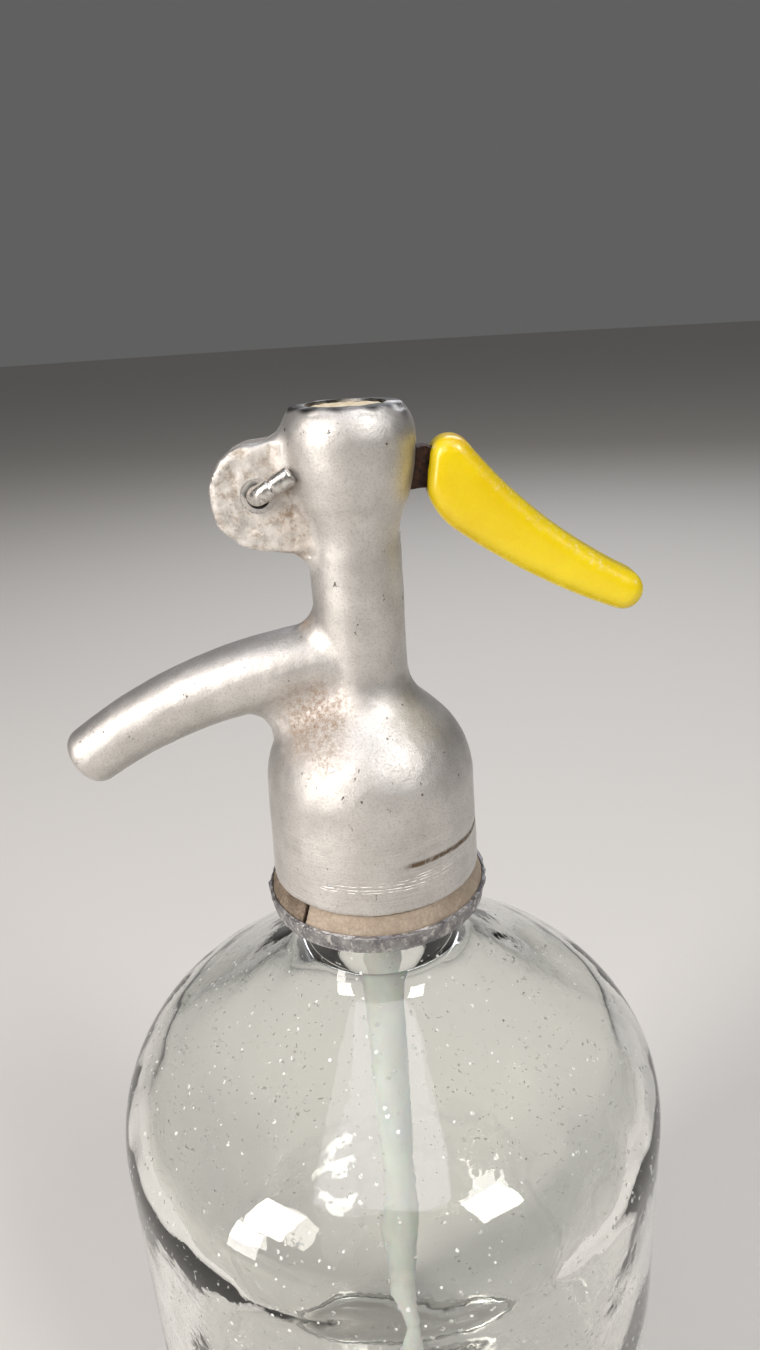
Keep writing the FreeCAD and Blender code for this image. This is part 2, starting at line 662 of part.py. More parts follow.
# ---------------------------------------------------------------- dip tube
def make_nipple():
    turned("tube_nipple", [
        ("tube_bore", "nipple_foot"),
        ("tube_radius + running_room", "nipple_foot"),
        ("tube_radius + running_room", "socket_foot"),
        ("socket_radius", "socket_foot"),
        ("socket_radius", "nipple_foot"),
        ("nipple_flange_radius", "nipple_foot"),
        ("nipple_flange_radius", "seal_foot"),
        ("chamber_radius - fit_room", "seal_foot"),
        ("chamber_radius - fit_room", "nipple_top"),
        ("tube_bore", "nipple_top"),
    ])


def make_nipple_seal():
    turned("nipple_seal", tube_corners("chamber_radius", "nipple_flange_radius", "seal_foot", "head_seat"))


def make_dip_tube():
    body = turned("dip_tube", tube_corners("tube_bore", "tube_radius", "tube_foot", "nipple_foot"))
    cut = outline(body, "slant_outline", [
        ("-tube_radius - 1", "tube_foot - 1"),
        ("tube_radius + 1", "tube_foot - 1"),
        ("tube_radius + 1", "tube_foot + tube_slant"),
    ])
    extrude(body, "Pocket", "slant_cut", cut, "2 * tube_radius + 2")


# ---------------------------------------------------------------- moving valve
def make_valve_stem():
    turned("valve_stem", [
        ("0", "rod_foot"),
        ("rod_radius", "rod_foot"),
        ("rod_radius", "seat_face"),
        ("flange_radius", "seat_face"),
        ("flange_radius", "seat_face + flange_height"),
        ("rod_radius", "seat_face + flange_height"),
        ("rod_radius", "plate_foot"),
        ("rod_top_radius", "plate_foot"),
        ("rod_top_radius", "cap_top - cap_floor"),
        ("0", "cap_top - cap_floor"),
    ])


def make_valve_washer():
    turned("valve_washer", round_the_stem("washer_radius", "washer_foot", "seat_face"))


def make_valve_disc():
    turned("valve_disc", round_the_stem("disc_radius", "disc_foot", "washer_foot"))


def make_valve_nut():
    body = add_body("valve_nut")
    half = "nut_flats / 2"
    corner = "nut_flats / 2 / cos(30)"
    middle = "nut_flats / 2 * tan(30)"
    sketch = outline(body, "nut_outline", [
        ("-(%s)" % half, "-(%s)" % middle),
        ("0", "-(%s)" % corner),
        (half, "-(%s)" % middle),
        (half, middle),
        ("0", corner),
        ("-(%s)" % half, middle),
    ], role="XY_Plane")
    sketch.AttachmentOffset = Placement(Vector(0, 0, value("nut_foot")), Rotation())
    sketch.setExpression("AttachmentOffset.Base.z", tied("nut_foot"))
    extrude(body, "Pad", "nut_block", sketch, "nut_height", symmetric=False)
    bore = outline(body, "nut_bore_profile", [
        ("0", "nut_foot - 1"),
        ("rod_radius + running_room", "nut_foot - 1"),
        ("rod_radius + running_room", "disc_foot + 1"),
        ("0", "disc_foot + 1"),
    ])
    revolve(body, "Groove", "nut_bore", bore)


def make_spring_plate():
    corners = tube_corners("rod_top_radius + running_room", "spring_plate_radius", "plate_foot", "plate_top")
    turned("spring_plate", corners)


def make_stem_cap():
    turned("stem_cap", [
        ("0", "cap_top - cap_floor"),
        ("rod_top_radius + running_room", "cap_top - cap_floor"),
        ("rod_top_radius + running_room", "plate_top"),
        ("cap_radius", "plate_top"),
        ("cap_radius", "cap_top - cap_dome", "(cap_radius ^ 2 + cap_dome ^ 2) / (2 * cap_dome)"),
        ("0", "cap_top"),
    ])


# ---------------------------------------------------------------- lever and its pin
def make_pivot_pin():
    """Soft metal pin: headed at the back, bent over against the front cheek."""
    body = add_body("pivot_pin")
    face = "ear_span / 2"
    lay = "ear_span / 2 + pin_radius + tail_gap"
    shank = ring(body, "shank_ring", "pin_radius")
    extrude(body, "Pad", "shank", shank, "%s + fit_room" % face, symmetric=False, turned_round=True)
    tail = body.newObject("PartDesign::AdditivePipe", "bent_tail")
    tail.Profile = ring(body, "tail_ring", "pin_radius")
    tail.Spine = (outline(body, "tail_line", [
        ("0", "0"),
        ("0", "pin_bend - (%s)" % lay, "pin_bend"),
        ("pin_bend", "-(%s)" % lay),
        ("pin_bend + pin_tail", "-(%s)" % lay),
    ], role="XY_Plane", closed=False), [])
    head = ring(body, "head_ring", "pin_head_radius")
    head.AttachmentOffset = Placement(Vector(0, 0, -value(face)), Rotation())
    head.setExpression("AttachmentOffset.Base.z", tied("-(%s)" % face))
    extrude(body, "Pad", "head", head, "pin_head_height", symmetric=False, turned_round=True)
    body.Placement = Placement(Vector(-value("pivot_reach"), 0, value("pivot_level")),
                               Rotation(Vector(0, -1, 0), value("pin_lean")))
    body.setExpression("Placement.Base.x", tied("-pivot_reach"))
    body.setExpression("Placement.Base.z", tied("pivot_level"))
    body.setExpression("Placement.Rotation.Angle", tied("pin_lean"))


def seat_on_pivot(body):
    body.Placement = Placement(Vector(-value("pivot_reach"), 0, value("pivot_level")), Rotation())
    body.setExpression("Placement.Base.x", tied("-pivot_reach"))
    body.setExpression("Placement.Base.z", tied("pivot_level"))


def on_bar(along, off):
    """A point of the tilted bar, given along and off its middle line from the pin."""
    across = "(%s) * cos(bar_rise) - (%s) * sin(bar_rise)" % (along, off)
    up = "(%s) * sin(bar_rise) + (%s) * cos(bar_rise)" % (along, off)
    return across, up


def tang_corners():
    """The bar's last corners: its bend and the tang that the grip is moulded round."""
    return [
        on_bar("bar_reach", "-bar_half"),
        ("tang_reach - tang_half / 2", "-tang_drop - tang_half"),
        ("tang_reach + tang_half / 2", "-tang_drop + tang_half"),
        on_bar("bar_reach", "bar_half"),
    ]


def make_lever_arm():
    body = add_body("lever_arm")
    sketch = outline(body, "bar_outline", [
        on_bar("0", "-bar_half"),
        *tang_corners(),
        on_bar("0", "bar_half") + ("bar_half",),
        on_bar("-bar_half", "0") + ("bar_half",),
    ])
    extrude(body, "Pad", "bar", sketch, "bar_thickness")
    hole = ring(body, "eye_ring", "pin_radius + running_room")
    extrude(body, "Pocket", "eye", hole, "bar_thickness + 1")
    seat_on_pivot(body)


def make_lever_grip():
    body = add_body("lever_grip")
    sketch = outline(body, "grip_outline", [
        ("grip_start", "face_low", "chin_round"),
        ("grip_start + chin_reach", "-chin_drop", "grip_bow"),
        ("grip_start + grip_reach - end_set_back", "-grip_drop - end_depth", "end_round"),
        ("grip_start + grip_reach", "-grip_drop", "-grip_hollow"),
        ("grip_start + crown_reach", "crown_top", "crown_round"),
        ("grip_start + face_lean", "face_top"),
    ])
    extrude(body, "Pad", "grip_block", sketch, "grip_thickness")
    side = value("grip_thickness / 2")

    def long_edge(edge):
        return all(abs(abs(vertex.Point.y) - side) < 0.01 for vertex in edge.Vertexes)
    round_edges(body, "grip_rounding", long_edge, "grip_round")
    socket = outline(body, "socket_outline", [on_bar("bar_half", "-bar_half"), *tang_corners(),
                                              on_bar("bar_half", "bar_half")])
    extrude(body, "Pocket", "tang_socket", socket, "bar_thickness")
    seat_on_pivot(body)


# ---------------------------------------------------------------- build, check, write
make_bottle()
make_neck_ring()
make_collar_half("collar_half_right", "collar_turn")
make_collar_half("collar_half_left", "collar_turn + 180")
make_gasket()
make_head()
make_top_plug()
make_valve_seat()
make_packing()
make_gland_nut()
make_spring()
make_nipple()
make_nipple_seal()
make_dip_tube()
make_valve_stem()
make_valve_washer()
make_valve_disc()
make_valve_nut()
make_spring_plate()
make_stem_cap()
make_pivot_pin()
make_lever_arm()
make_lever_grip()
doc.recompute()

faults = [item.Label for item in doc.Objects if {"Invalid", "Error"} & set(item.State)]
pieces = [item for item in doc.Objects if item.TypeId == "PartDesign::Body"]
for piece in pieces:
    if piece.Shape.isNull() or not piece.Shape.isValid() or len(piece.Shape.Solids) != 1:
        faults.append("%s (shape)" % piece.Label)
if faults:
    raise SystemExit("not built: " + ", ".join(faults))

os.makedirs("parts", exist_ok=True)
for piece in pieces:
    piece.Shape.exportStep("parts/%s.step" % piece.Label)
    box = piece.Shape.BoundBox
    print("%-18s %10.1f mm3  x %.1f..%.1f  y %.1f..%.1f  z %.1f..%.1f" % (
        piece.Label, piece.Shape.Volume, box.XMin, box.XMax, box.YMin, box.YMax, box.ZMin, box.ZMax))
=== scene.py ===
import json
import math
import random

import bmesh
import bpy
from mathutils import Matrix, Vector, noise


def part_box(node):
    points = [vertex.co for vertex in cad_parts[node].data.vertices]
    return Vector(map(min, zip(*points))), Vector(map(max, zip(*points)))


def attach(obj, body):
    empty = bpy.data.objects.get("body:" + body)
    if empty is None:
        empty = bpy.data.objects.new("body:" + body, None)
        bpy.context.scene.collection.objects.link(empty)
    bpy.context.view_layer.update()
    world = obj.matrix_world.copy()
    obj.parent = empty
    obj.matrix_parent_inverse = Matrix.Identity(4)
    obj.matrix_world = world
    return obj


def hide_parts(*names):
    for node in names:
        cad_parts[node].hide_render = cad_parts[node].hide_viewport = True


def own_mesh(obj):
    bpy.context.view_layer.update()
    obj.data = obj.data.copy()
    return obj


# Old refillable soda siphon: thick glass bottle, cast aluminium head, bent wire pin and yellow
# thumb lever. Shapes are drawn in millimetres in the CAD frame and become metres when kept.

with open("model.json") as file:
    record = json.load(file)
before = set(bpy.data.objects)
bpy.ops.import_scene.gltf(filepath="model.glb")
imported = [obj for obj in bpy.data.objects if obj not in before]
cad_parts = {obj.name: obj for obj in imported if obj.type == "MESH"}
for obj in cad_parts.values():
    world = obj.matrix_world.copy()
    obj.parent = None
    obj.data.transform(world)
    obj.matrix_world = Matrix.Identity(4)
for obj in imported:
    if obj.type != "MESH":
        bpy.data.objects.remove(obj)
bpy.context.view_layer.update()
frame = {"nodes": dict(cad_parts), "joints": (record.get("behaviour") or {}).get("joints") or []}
nodes = frame["nodes"]
mm = 0.001


def levelOf(node, top=True):
    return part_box(node)[1 if top else 0].z / mm


rimLevel = levelOf("neck_ring")
seatLevel = levelOf("neck_gasket")
skirtFoot = levelOf("head_casting", top=False)
crownLevel = levelOf("head_casting")
leverJoint = next(joint for joint in frame["joints"] if joint["name"] == "lever_pivot")
pivotX, pivotLevel = leverJoint["pos_m"][0] / mm, leverJoint["pos_m"][2] / mm


# camera and studio

cameraView = {"place": (0.0028, -0.1487, 0.3269), "pitch": 21.24, "roll": 3.53, "lens": 24.77}
studio = {"floorRadius": 12, "paper": "#D8D5D0", "air": "#B7B6B6", "airStrength": 0.25, "boxReach": 1.6,
          "aim": (0, 0, 0.24)}
# soft boxes: azimuth and rise in degrees, width and height in metres, power in watts
softBoxes = {
    "leftBox": {"azimuth": -50, "rise": 30, "width": 0.44, "height": 0.7, "power": 17.0, "tint": "#FFF8F1"},
    "lowBox": {"azimuth": -54, "rise": 6, "width": 0.3, "height": 0.6, "power": 6.0, "tint": "#FFFAF5"},
    "rightBox": {"azimuth": 42, "rise": 42, "width": 0.42, "height": 0.6, "power": 13.0, "tint": "#FFFCF8"},
    "topBox": {"azimuth": -10, "rise": 78, "width": 1.2, "height": 1.2, "power": 8.0, "tint": "#F8F8FF"},
    "backBox": {"azimuth": 165, "rise": 40, "width": 0.9, "height": 0.9, "power": 8.0, "tint": "#F4F7FF"},
}


def makeCamera():
    camera = bpy.data.objects.new("viewCamera", bpy.data.cameras.new("viewCamera"))
    bpy.context.scene.collection.objects.link(camera)
    camera.data.lens = cameraView["lens"]
    camera.data.clip_start = 0.01
    turn = Matrix.Rotation(math.radians(90 - cameraView["pitch"]), 4, "X")
    lean = Matrix.Rotation(math.radians(-cameraView["roll"]), 4, "Z")
    camera.matrix_world = Matrix.Translation(cameraView["place"]) @ turn @ lean
    bpy.context.scene.camera = camera


def linearColour(hexCode):
    shares = [int(hexCode[place:place + 2], 16) / 255 for place in (1, 3, 5)]
    return [*(s / 12.92 if s <= 0.04045 else ((s + 0.055) / 1.055) ** 2.4 for s in shares), 1.0]


# adds one node: inputs take values or the sockets that feed them, settings are its own switches
def addNode(material, kind, inputs=None, **settings):
    tree = material.node_tree
    node = tree.nodes.new("ShaderNode" + kind)
    for name, value in settings.items():
        setattr(node, name, value)
    for name, value in (inputs or {}).items():
        if isinstance(value, bpy.types.NodeSocket):
            tree.links.new(value, node.inputs[name])
        else:
            node.inputs[name].default_value = value
    return node


def newFinish(name, colour, roughness, metallic=0.0, **others):
    material = bpy.data.materials.new(name)
    material.use_nodes = True
    shader = material.node_tree.nodes["Principled BSDF"]
    shader.inputs["Base Color"].default_value = linearColour(colour)
    shader.inputs["Roughness"].default_value = roughness
    shader.inputs["Metallic"].default_value = metallic
    for name, value in others.items():
        shader.inputs[name.replace("_", " ")].default_value = value
    return material, shader


# feeds the shader: colour, roughness and bump come from the pattern's sockets
def feed(material, shader, **sockets):
    for name, socket in sockets.items():
        material.node_tree.links.new(socket, shader.inputs[name.replace("_", " ")])


# a noise pattern whose features are about `size` millimetres, read from Object coordinates
def grainPattern(material, size, detail=3.0, stretch=(1, 1, 1), rough=0.55):
    spot = addNode(material, "TexCoord").outputs["Object"]
    placed = addNode(material, "Mapping", {"Vector": spot, "Scale": stretch}).outputs[0]
    return addNode(material, "TexNoise", {
        "Vector": placed, "Scale": 1 / (size * mm), "Detail": detail, "Roughness": rough}).outputs[0]


def ramp(material, value, low, high, start=0.0, end=1.0):
    return addNode(material, "MapRange", {
        "Value": value, "From Min": low, "From Max": high, "To Min": start, "To Max": end}).outputs[0]


def blendColours(material, share, first, second, mode="MIX"):
    sides = [linearColour(side) if isinstance(side, str) else side for side in (first, second)]
    return addNode(material, "Mix", {0: share, 6: sides[0], 7: sides[1]},
                   data_type="RGBA", blend_type=mode).outputs[2]


# blotches of two colours: the noise runs from the first at low to the second at high
def mottled(material, low, high, first, second, **grain):
    return blendColours(material, ramp(material, grainPattern(material, **grain), low, high), first, second)


def sums(material, operation, *values):
    return addNode(material, "Math", dict(enumerate(values)), operation=operation).outputs[0]


def raised(material, height, depth):
    return addNode(material, "Bump", {"Height": height, "Distance": depth * mm, "Strength": 1.0}).outputs[0]


# pale matt paper: a plain floor with a barely raised grain
def makeStudio():
    floorFinish, shader = newFinish("paleMattPaper", studio["paper"], 0.75)
    feed(floorFinish, shader, Normal=raised(floorFinish, grainPattern(floorFinish, 0.8), 0.02))
    shape = bmesh.new()
    bmesh.ops.create_circle(shape, cap_ends=True, segments=96, radius=studio["floorRadius"])
    floor = bpy.data.objects.new("floor", bpy.data.meshes.new("floor"))
    shape.to_mesh(floor.data)
    floor.data.materials.append(floorFinish)
    bpy.context.scene.collection.objects.link(floor)
    world = bpy.data.worlds.new("studioAir")
    world.use_nodes = True
    background = world.node_tree.nodes["Background"]
    background.inputs["Color"].default_value = linearColour(studio["air"])
    background.inputs["Strength"].default_value = studio["airStrength"]
    bpy.context.scene.world = world
    bpy.context.scene.view_settings.view_transform = "Standard"
    for name, softBox in softBoxes.items():
        light = bpy.data.lights.new(name, "AREA")
        light.shape = "RECTANGLE"
        light.size, light.size_y = softBox["width"], softBox["height"]
        light.energy = softBox["power"]
        light.color = linearColour(softBox["tint"])[:3]
        box = bpy.data.objects.new(name, light)
        bpy.context.scene.collection.objects.link(box)
        turn, rise = math.radians(softBox["azimuth"]), math.radians(softBox["rise"])
        way = Vector((math.sin(turn) * math.cos(rise), -math.cos(turn) * math.cos(rise), math.sin(rise)))
        box.location = Vector(studio["aim"]) + way * studio["boxReach"]
        box.rotation_euler = (-way).to_track_quat("-Z", "Y").to_euler()


makeCamera()
makeStudio()
print("camera and studio stand")


# shape tools

# points of an outline from corners (across, up[, bend of the side that follows, + to the left])
def outlinePoints(corners, closed=True, step=0.5):
    points = []
    for side in range(len(corners) if closed else len(corners) - 1):
        here = Vector(corners[side][:2])
        there = Vector(corners[(side + 1) % len(corners)][:2])
        chord = there - here
        if len(corners[side]) == 2:
            count = max(1, round(chord.length / (step * 6)))
            points += [here.lerp(there, part / count) for part in range(count)]
            continue
        bend = corners[side][2]
        reach = math.sqrt(max(bend ** 2 - (chord.length / 2) ** 2, 0))
        left = Vector((-chord.y, chord.x)).normalized()
        middle = (here + there) / 2 + left * math.copysign(reach, bend)
        sweep = math.copysign(2 * math.asin(min(1, chord.length / 2 / abs(bend))), bend)
        count = max(3, math.ceil(abs(sweep * bend) / step))
        spoke = here - middle
        points += [middle + Matrix.Rotation(sweep * part / count, 2) @ spoke for part in range(count)]
    if not closed:
        points.append(Vector(corners[-1][:2]))
    return points


# turns an outline about the upright axis
def lathe(corners, closed=True, steps=160, step=0.5):
    shape = bmesh.new()
    spots = [shape.verts.new((point.x, 0, point.y)) for point in outlinePoints(corners, closed, step)]
    pairs = list(zip(spots, spots[1:])) + ([(spots[-1], spots[0])] if closed else [])
    sides = [shape.edges.new(pair) for pair in pairs]
    bmesh.ops.spin(shape, geom=spots + sides, cent=(0, 0, 0), axis=(0, 0, 1), dvec=(0, 0, 0),
                   angle=2 * math.pi, steps=steps, use_merge=True)
    bmesh.ops.remove_doubles(shape, verts=shape.verts, dist=1e-4)
    bmesh.ops.recalc_face_normals(shape, faces=shape.faces)
    return shape


# a plate with an outline in XZ, centred on the XZ plane
def plate(corners, thickness):
    shape = bmesh.new()
    points = outlinePoints(corners)
    face = shape.faces.new([shape.verts.new((point.x, -thickness / 2, point.y)) for point in points])
    out = bmesh.ops.extrude_face_region(shape, geom=[face])["geom"]
    bmesh.ops.translate(shape, verts=[item for item in out if isinstance(item, bmesh.types.BMVert)],
                        vec=(0, thickness, 0))
    bmesh.ops.recalc_face_normals(shape, faces=shape.faces)
    return shape


# a tube along stations (centre, heading, radius) that lie in the XZ plane, closed at both ends
def taperedTube(stations, segments=48):
    shape = bmesh.new()
    ring = bmesh.ops.create_circle(shape, cap_ends=True, segments=segments, radius=1.0)["verts"]
    sides = list(shape.edges)
    start = list(shape.verts)
    loops = [start]
    for _ in stations[1:]:
        grown = bmesh.ops.extrude_edge_only(shape, edges=sides)["geom"]
        sides = [item for item in grown if isinstance(item, bmesh.types.BMEdge) and
                 all(vert not in loops[-1] for vert in item.verts)]
        loops.append([item for item in grown if isinstance(item, bmesh.types.BMVert)])
    for loop, (centre, heading, radius) in zip(loops, stations):
        turn = Vector((heading.x, 0, heading.y)).to_track_quat("Z", "Y").to_matrix().to_4x4()
        place = Matrix.Translation((centre.x, 0, centre.y)) @ turn @ Matrix.Scale(radius, 4)
        bmesh.ops.transform(shape, matrix=place, verts=loop)
    bmesh.ops.contextual_create(shape, geom=sides)
    bmesh.ops.recalc_face_normals(shape, faces=shape.faces)
    return shape


# a rod that lies along Y
def rod(radius, length, centre):
    shape = bmesh.new()
    turn = Matrix.Rotation(math.radians(90), 4, "X")
    bmesh.ops.create_cone(shape, cap_ends=True, segments=48, radius1=radius, radius2=radius,
                          depth=length, matrix=Matrix.Translation(centre) @ turn)
    return shape


# a scratch object in millimetres, on which modifiers can work
def roughObject(name, *shapes):
    mesh = bpy.data.meshes.new(name)
    whole = bmesh.new()
    for shape in shapes:
        part = bpy.data.meshes.new("part")
        shape.to_mesh(part)
        shape.free()
        whole.from_mesh(part)
    whole.to_mesh(mesh)
    whole.free()
    thing = bpy.data.objects.new(name, mesh)
    bpy.context.scene.collection.objects.link(thing)
    return thing


def worked(thing, *steps):
    for kind, settings in steps:
        modifier = thing.modifiers.new(kind, kind)
        for name, value in settings.items():
            setattr(modifier, name, value)
    made = bpy.data.meshes.new_from_object(thing.evaluated_get(bpy.context.evaluated_depsgraph_get()))
    thing.modifiers.clear()
    thing.data = made
    return thing


def voxels(grain):
    return "REMESH", {"mode": "VOXEL", "voxel_size": grain}


def smoothing(passes):
    return "SMOOTH", {"factor": 0.5, "iterations": passes}


def swelling(strength):
    return "DISPLACE", {"strength": strength, "mid_level": 0.0}


def cut(thing, *cutters):
    for shape in cutters:
        tool = roughObject("tool", shape)
        worked(thing, ("BOOLEAN", {"operation": "DIFFERENCE", "object": tool, "solver": "EXACT"}))
        bpy.data.objects.remove(tool)
    return thing


# a CAD node's mesh, merged, as a scratch object in millimetres
def nodeCopy(node):
    shape = bmesh.new()
    shape.from_mesh(nodes[node].data)
    bmesh.ops.scale(shape, vec=(1 / mm,) * 3, verts=shape.verts)
    bmesh.ops.remove_doubles(shape, verts=shape.verts, dist=0.002)
    return roughObject(node + "Copy", shape)


# moves every vertex along its normal by what the rule gives for its place
def dentSurface(thing, rule):
    normals = [vertex.normal.copy() for vertex in thing.data.vertices]
    for vertex, normal in zip(thing.data.vertices, normals):
        vertex.co += normal * rule(vertex.co, normal)
    return thing


def lumps(spot, size, seed=0.0):
    return noise.noise(spot / size + Vector((seed, 7 * seed, 3 * seed)))


# stores one number per vertex under each name, for a finish to read
def storeMarks(thing, marks):
    for name, values in marks.items():
        thing.data.attributes.new(name, "FLOAT", "POINT").data.foreach_set("value", values)


# turns a scratch object into a kept piece in metres, riding a body
def keepPiece(thing, name, body, finish, replaced, sharpest=40):
    thing.name = name
    thing.data.name = name
    thing.data.transform(Matrix.Scale(mm, 4))
    thing.data.materials.clear()
    thing.data.materials.append(finish)
    thing.data.shade_smooth()
    thing.data.set_sharp_from_angle(angle=math.radians(sharpest))
    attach(thing, body)
    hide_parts(*replaced)
    print(name, len(thing.data.polygons), "faces")
    return thing


# finishes

# soda-lime bottle glass: nearly clear, with whitish specks and dull scuffs from years of use
def makeGlassFinish():
    material, shader = newFinish("scuffedClearGlass", "#FAFBF8", 0.02, IOR=1.52, Transmission_Weight=1.0)
    scuffs = ramp(material, grainPattern(material, 9, 6, rough=0.7), 0.56, 0.72, 0.01, 0.12)
    where = addNode(material, "TexCoord").outputs["Object"]
    cells = addNode(material, "TexVoronoi", {"Scale": 1 / (2.0 * mm), "Vector": where}).outputs["Distance"]
    crowded = ramp(material, grainPattern(material, 8, 3), 0.42, 0.6, 0.06, 0.2)
    specks = sums(material, "LESS_THAN", cells, crowded)
    specks = sums(material, "MULTIPLY", specks, ramp(material, grainPattern(material, 0.7, 2), 0.45, 0.55))
    height = sums(material, "MULTIPLY_ADD", specks, 0.4, grainPattern(material, 8))
    feed(material, shader, Roughness=sums(material, "MULTIPLY_ADD", specks, 0.5, scuffs),
         Transmission_Weight=sums(material, "MULTIPLY_ADD", specks, -0.75, 1.0),
         Normal=raised(material, height, 0.05))
    return material


# marks on the skirt: level above its foot, start and end turn in degrees, width and waver
castMarks = {
    "turnedTop": 8, "turnedFull": 1,
    "mainCut": (5.2, -120, -40, 0.16, 0.5), "rustArc": (8.7, -76, -2, 0.6, 0.6),
    "fineCuts": ((5.9, -112, -25), (6.4, -90, -20), (4.7, -126, -62), (6.9, -70, -24)),
    "fineWidth": 0.14, "fineWaver": 0.7,
}


# sand-cast aluminium, turned at the skirt: satin grey with pits, bright cuts, a brown arc and dirt, plus
# painted shade inside the pin hole carried by the worn mark
def makeCastFinish():
    material, shader = newFinish("satinCastAluminium", "#CFCCC9", 0.45, 1.0)
    tone = mottled(material, 0.35, 0.65, "#C8C5C2", "#DDDAD7", size=7, detail=4)
    grit = grainPattern(material, 0.35, 5, rough=0.7)
    tone = blendColours(material, ramp(material, grit, 0.5, 0.66, 0, 0.4), tone, "#96918B")
    where = addNode(material, "TexCoord").outputs["Object"]
    pits = ramp(material, grainPattern(material, 1.3, 5, (1, 1, 0.6), 0.7), 0.655, 0.69)
    pitted = sums(material, "MULTIPLY", pits, ramp(material, grainPattern(material, 4, 3), 0.44, 0.52))
    tone = blendColours(material, pitted, tone, "#5E554C")
    axes = addNode(material, "SeparateXYZ", {"Vector": where}).outputs
    around = sums(material, "ARCTAN2", axes["Y"], axes["X"])
    onSkirt = ramp(material, axes["Z"], (seatLevel + castMarks["turnedTop"]) * mm,
                   (seatLevel + castMarks["turnedFull"]) * mm)
    turning = sums(material, "MULTIPLY", grainPattern(material, 2.2, 4, (0.25, 0.25, 14)), onSkirt)
    tone = blendColours(material, ramp(material, turning, 0.5, 0.62, 0, 0.5), tone, "#E6E3DE")

    def scored(level, startTurn, endTurn, width, waver):
        drift = sums(material, "MULTIPLY_ADD", grainPattern(material, 5, 3), waver * mm, -waver * mm / 2)
        away = sums(material, "ABSOLUTE", sums(material, "ADD", sums(
            material, "SUBTRACT", axes["Z"], (skirtFoot + level) * mm), drift))
        line = ramp(material, away, width * mm, width * mm * 0.4)
        begun = ramp(material, around, math.radians(startTurn), math.radians(startTurn + 5))
        over = ramp(material, around, math.radians(endTurn), math.radians(endTurn - 12))
        return sums(material, "MULTIPLY", line, sums(material, "MULTIPLY", begun, over))
    brightCuts = scored(*castMarks["mainCut"])
    for place in castMarks["fineCuts"]:
        fineCut = scored(*place, castMarks["fineWidth"], castMarks["fineWaver"])
        brightCuts = sums(material, "MAXIMUM", brightCuts, fineCut)
    broken = ramp(material, grainPattern(material, 1.2, 4), 0.4, 0.55)
    brightCuts = sums(material, "MULTIPLY", brightCuts, broken)
    tone = blendColours(material, brightCuts, tone, "#F1EEEA")
    rustArc = scored(*castMarks["rustArc"])
    tone = blendColours(material, sums(material, "MULTIPLY", rustArc, ramp(
        material, grainPattern(material, 0.8, 4), 0.3, 0.5, 0.5, 1)), tone, "#5B4833")
    grime = addNode(material, "Attribute", attribute_name="grime").outputs["Fac"]
    crumbs = ramp(material, grainPattern(material, 0.8, 6, rough=0.8), 0.42, 0.6)
    dirty = sums(material, "MULTIPLY", grime, ramp(material, crumbs, 0, 1, 0.2, 1))
    tone = blendColours(material, sums(material, "MULTIPLY", dirty, 0.85), tone, "#8F745B")
    worn = addNode(material, "Attribute", attribute_name="worn").outputs["Fac"]
    # the worn mark is partly real wear on the rim and partly painted shade inside the pin hole
    tone = blendColours(material, worn, tone, "#454341")
    crust = addNode(material, "Attribute", attribute_name="crust").outputs["Fac"]
    crusty = sums(material, "MULTIPLY", crust, ramp(
        material, grainPattern(material, 1.6, 5, rough=0.7), 0.36, 0.6, 0.15, 0.7))
    stained = ramp(material, grainPattern(material, 2.2, 6, rough=0.75), 0.48, 0.6)
    tone = blendColours(material, crusty, tone, blendColours(material, stained, "#E3DDD5", "#9C8872"))
    dull = sums(material, "MAXIMUM", dirty, crusty)
    rough = sums(material, "MULTIPLY_ADD", dull, 0.25, ramp(material, grit, 0.3, 0.7, 0.45, 0.56))
    covered = sums(material, "MAXIMUM", dirty, rustArc)
    covered = sums(material, "MAXIMUM", covered, sums(material, "MULTIPLY", crusty, 0.6))
    metal = sums(material, "SUBTRACT", 1.0, sums(material, "MULTIPLY", covered, 0.8))
    sunk = sums(material, "MAXIMUM", rustArc, sums(material, "MULTIPLY", brightCuts, 0.6))
    sunk = sums(material, "MAXIMUM", pitted, sunk)
    height = sums(material, "SUBTRACT", sums(material, "MULTIPLY", grit, 0.4), sunk)
    height = sums(material, "MULTIPLY_ADD", turning, 0.35, height)
    feed(material, shader, Base_Color=tone, Roughness=rough, Metallic=metal,
         Normal=raised(material, height, 0.13))
    return material


# lead alloy ring: soft dull grey with bright cuts along its edge
def makeLeadFinish():
    material, shader = newFinish("nickedLeadAlloy", "#A9A7A9", 0.5, 1.0)
    tone = mottled(material, 0.4, 0.62, "#8B898D", "#AFADAD", size=3.0, detail=4)
    chips = ramp(material, grainPattern(material, 1.1, 5, (1, 1, 0.6), 0.75), 0.54, 0.62)
    tone = blendColours(material, chips, tone, "#DCD9D6")
    feed(material, shader, Base_Color=tone,
         Roughness=ramp(material, chips, 0, 1, 0.58, 0.36),
         Normal=raised(material, sums(material, "ADD", chips, grainPattern(material, 0.7, 4)), 0.08))
    return material


# unpolished zinc collar under years of dust: sandy tan, nearly matt, one half dirtier than the other
def makeCollarFinish(name, dark, light, roughness):
    material, shader = newFinish(name, light, roughness, 0.2)
    tone = mottled(material, 0.3, 0.7, dark, light, size=0.5, detail=6, rough=0.75)
    broad = ramp(material, grainPattern(material, 3.5, 4), 0.45, 0.65, 0, 0.6)
    feed(material, shader, Base_Color=blendColours(material, broad, tone, dark),
         Normal=raised(material, grainPattern(material, 0.45, 5), 0.08))
    return material


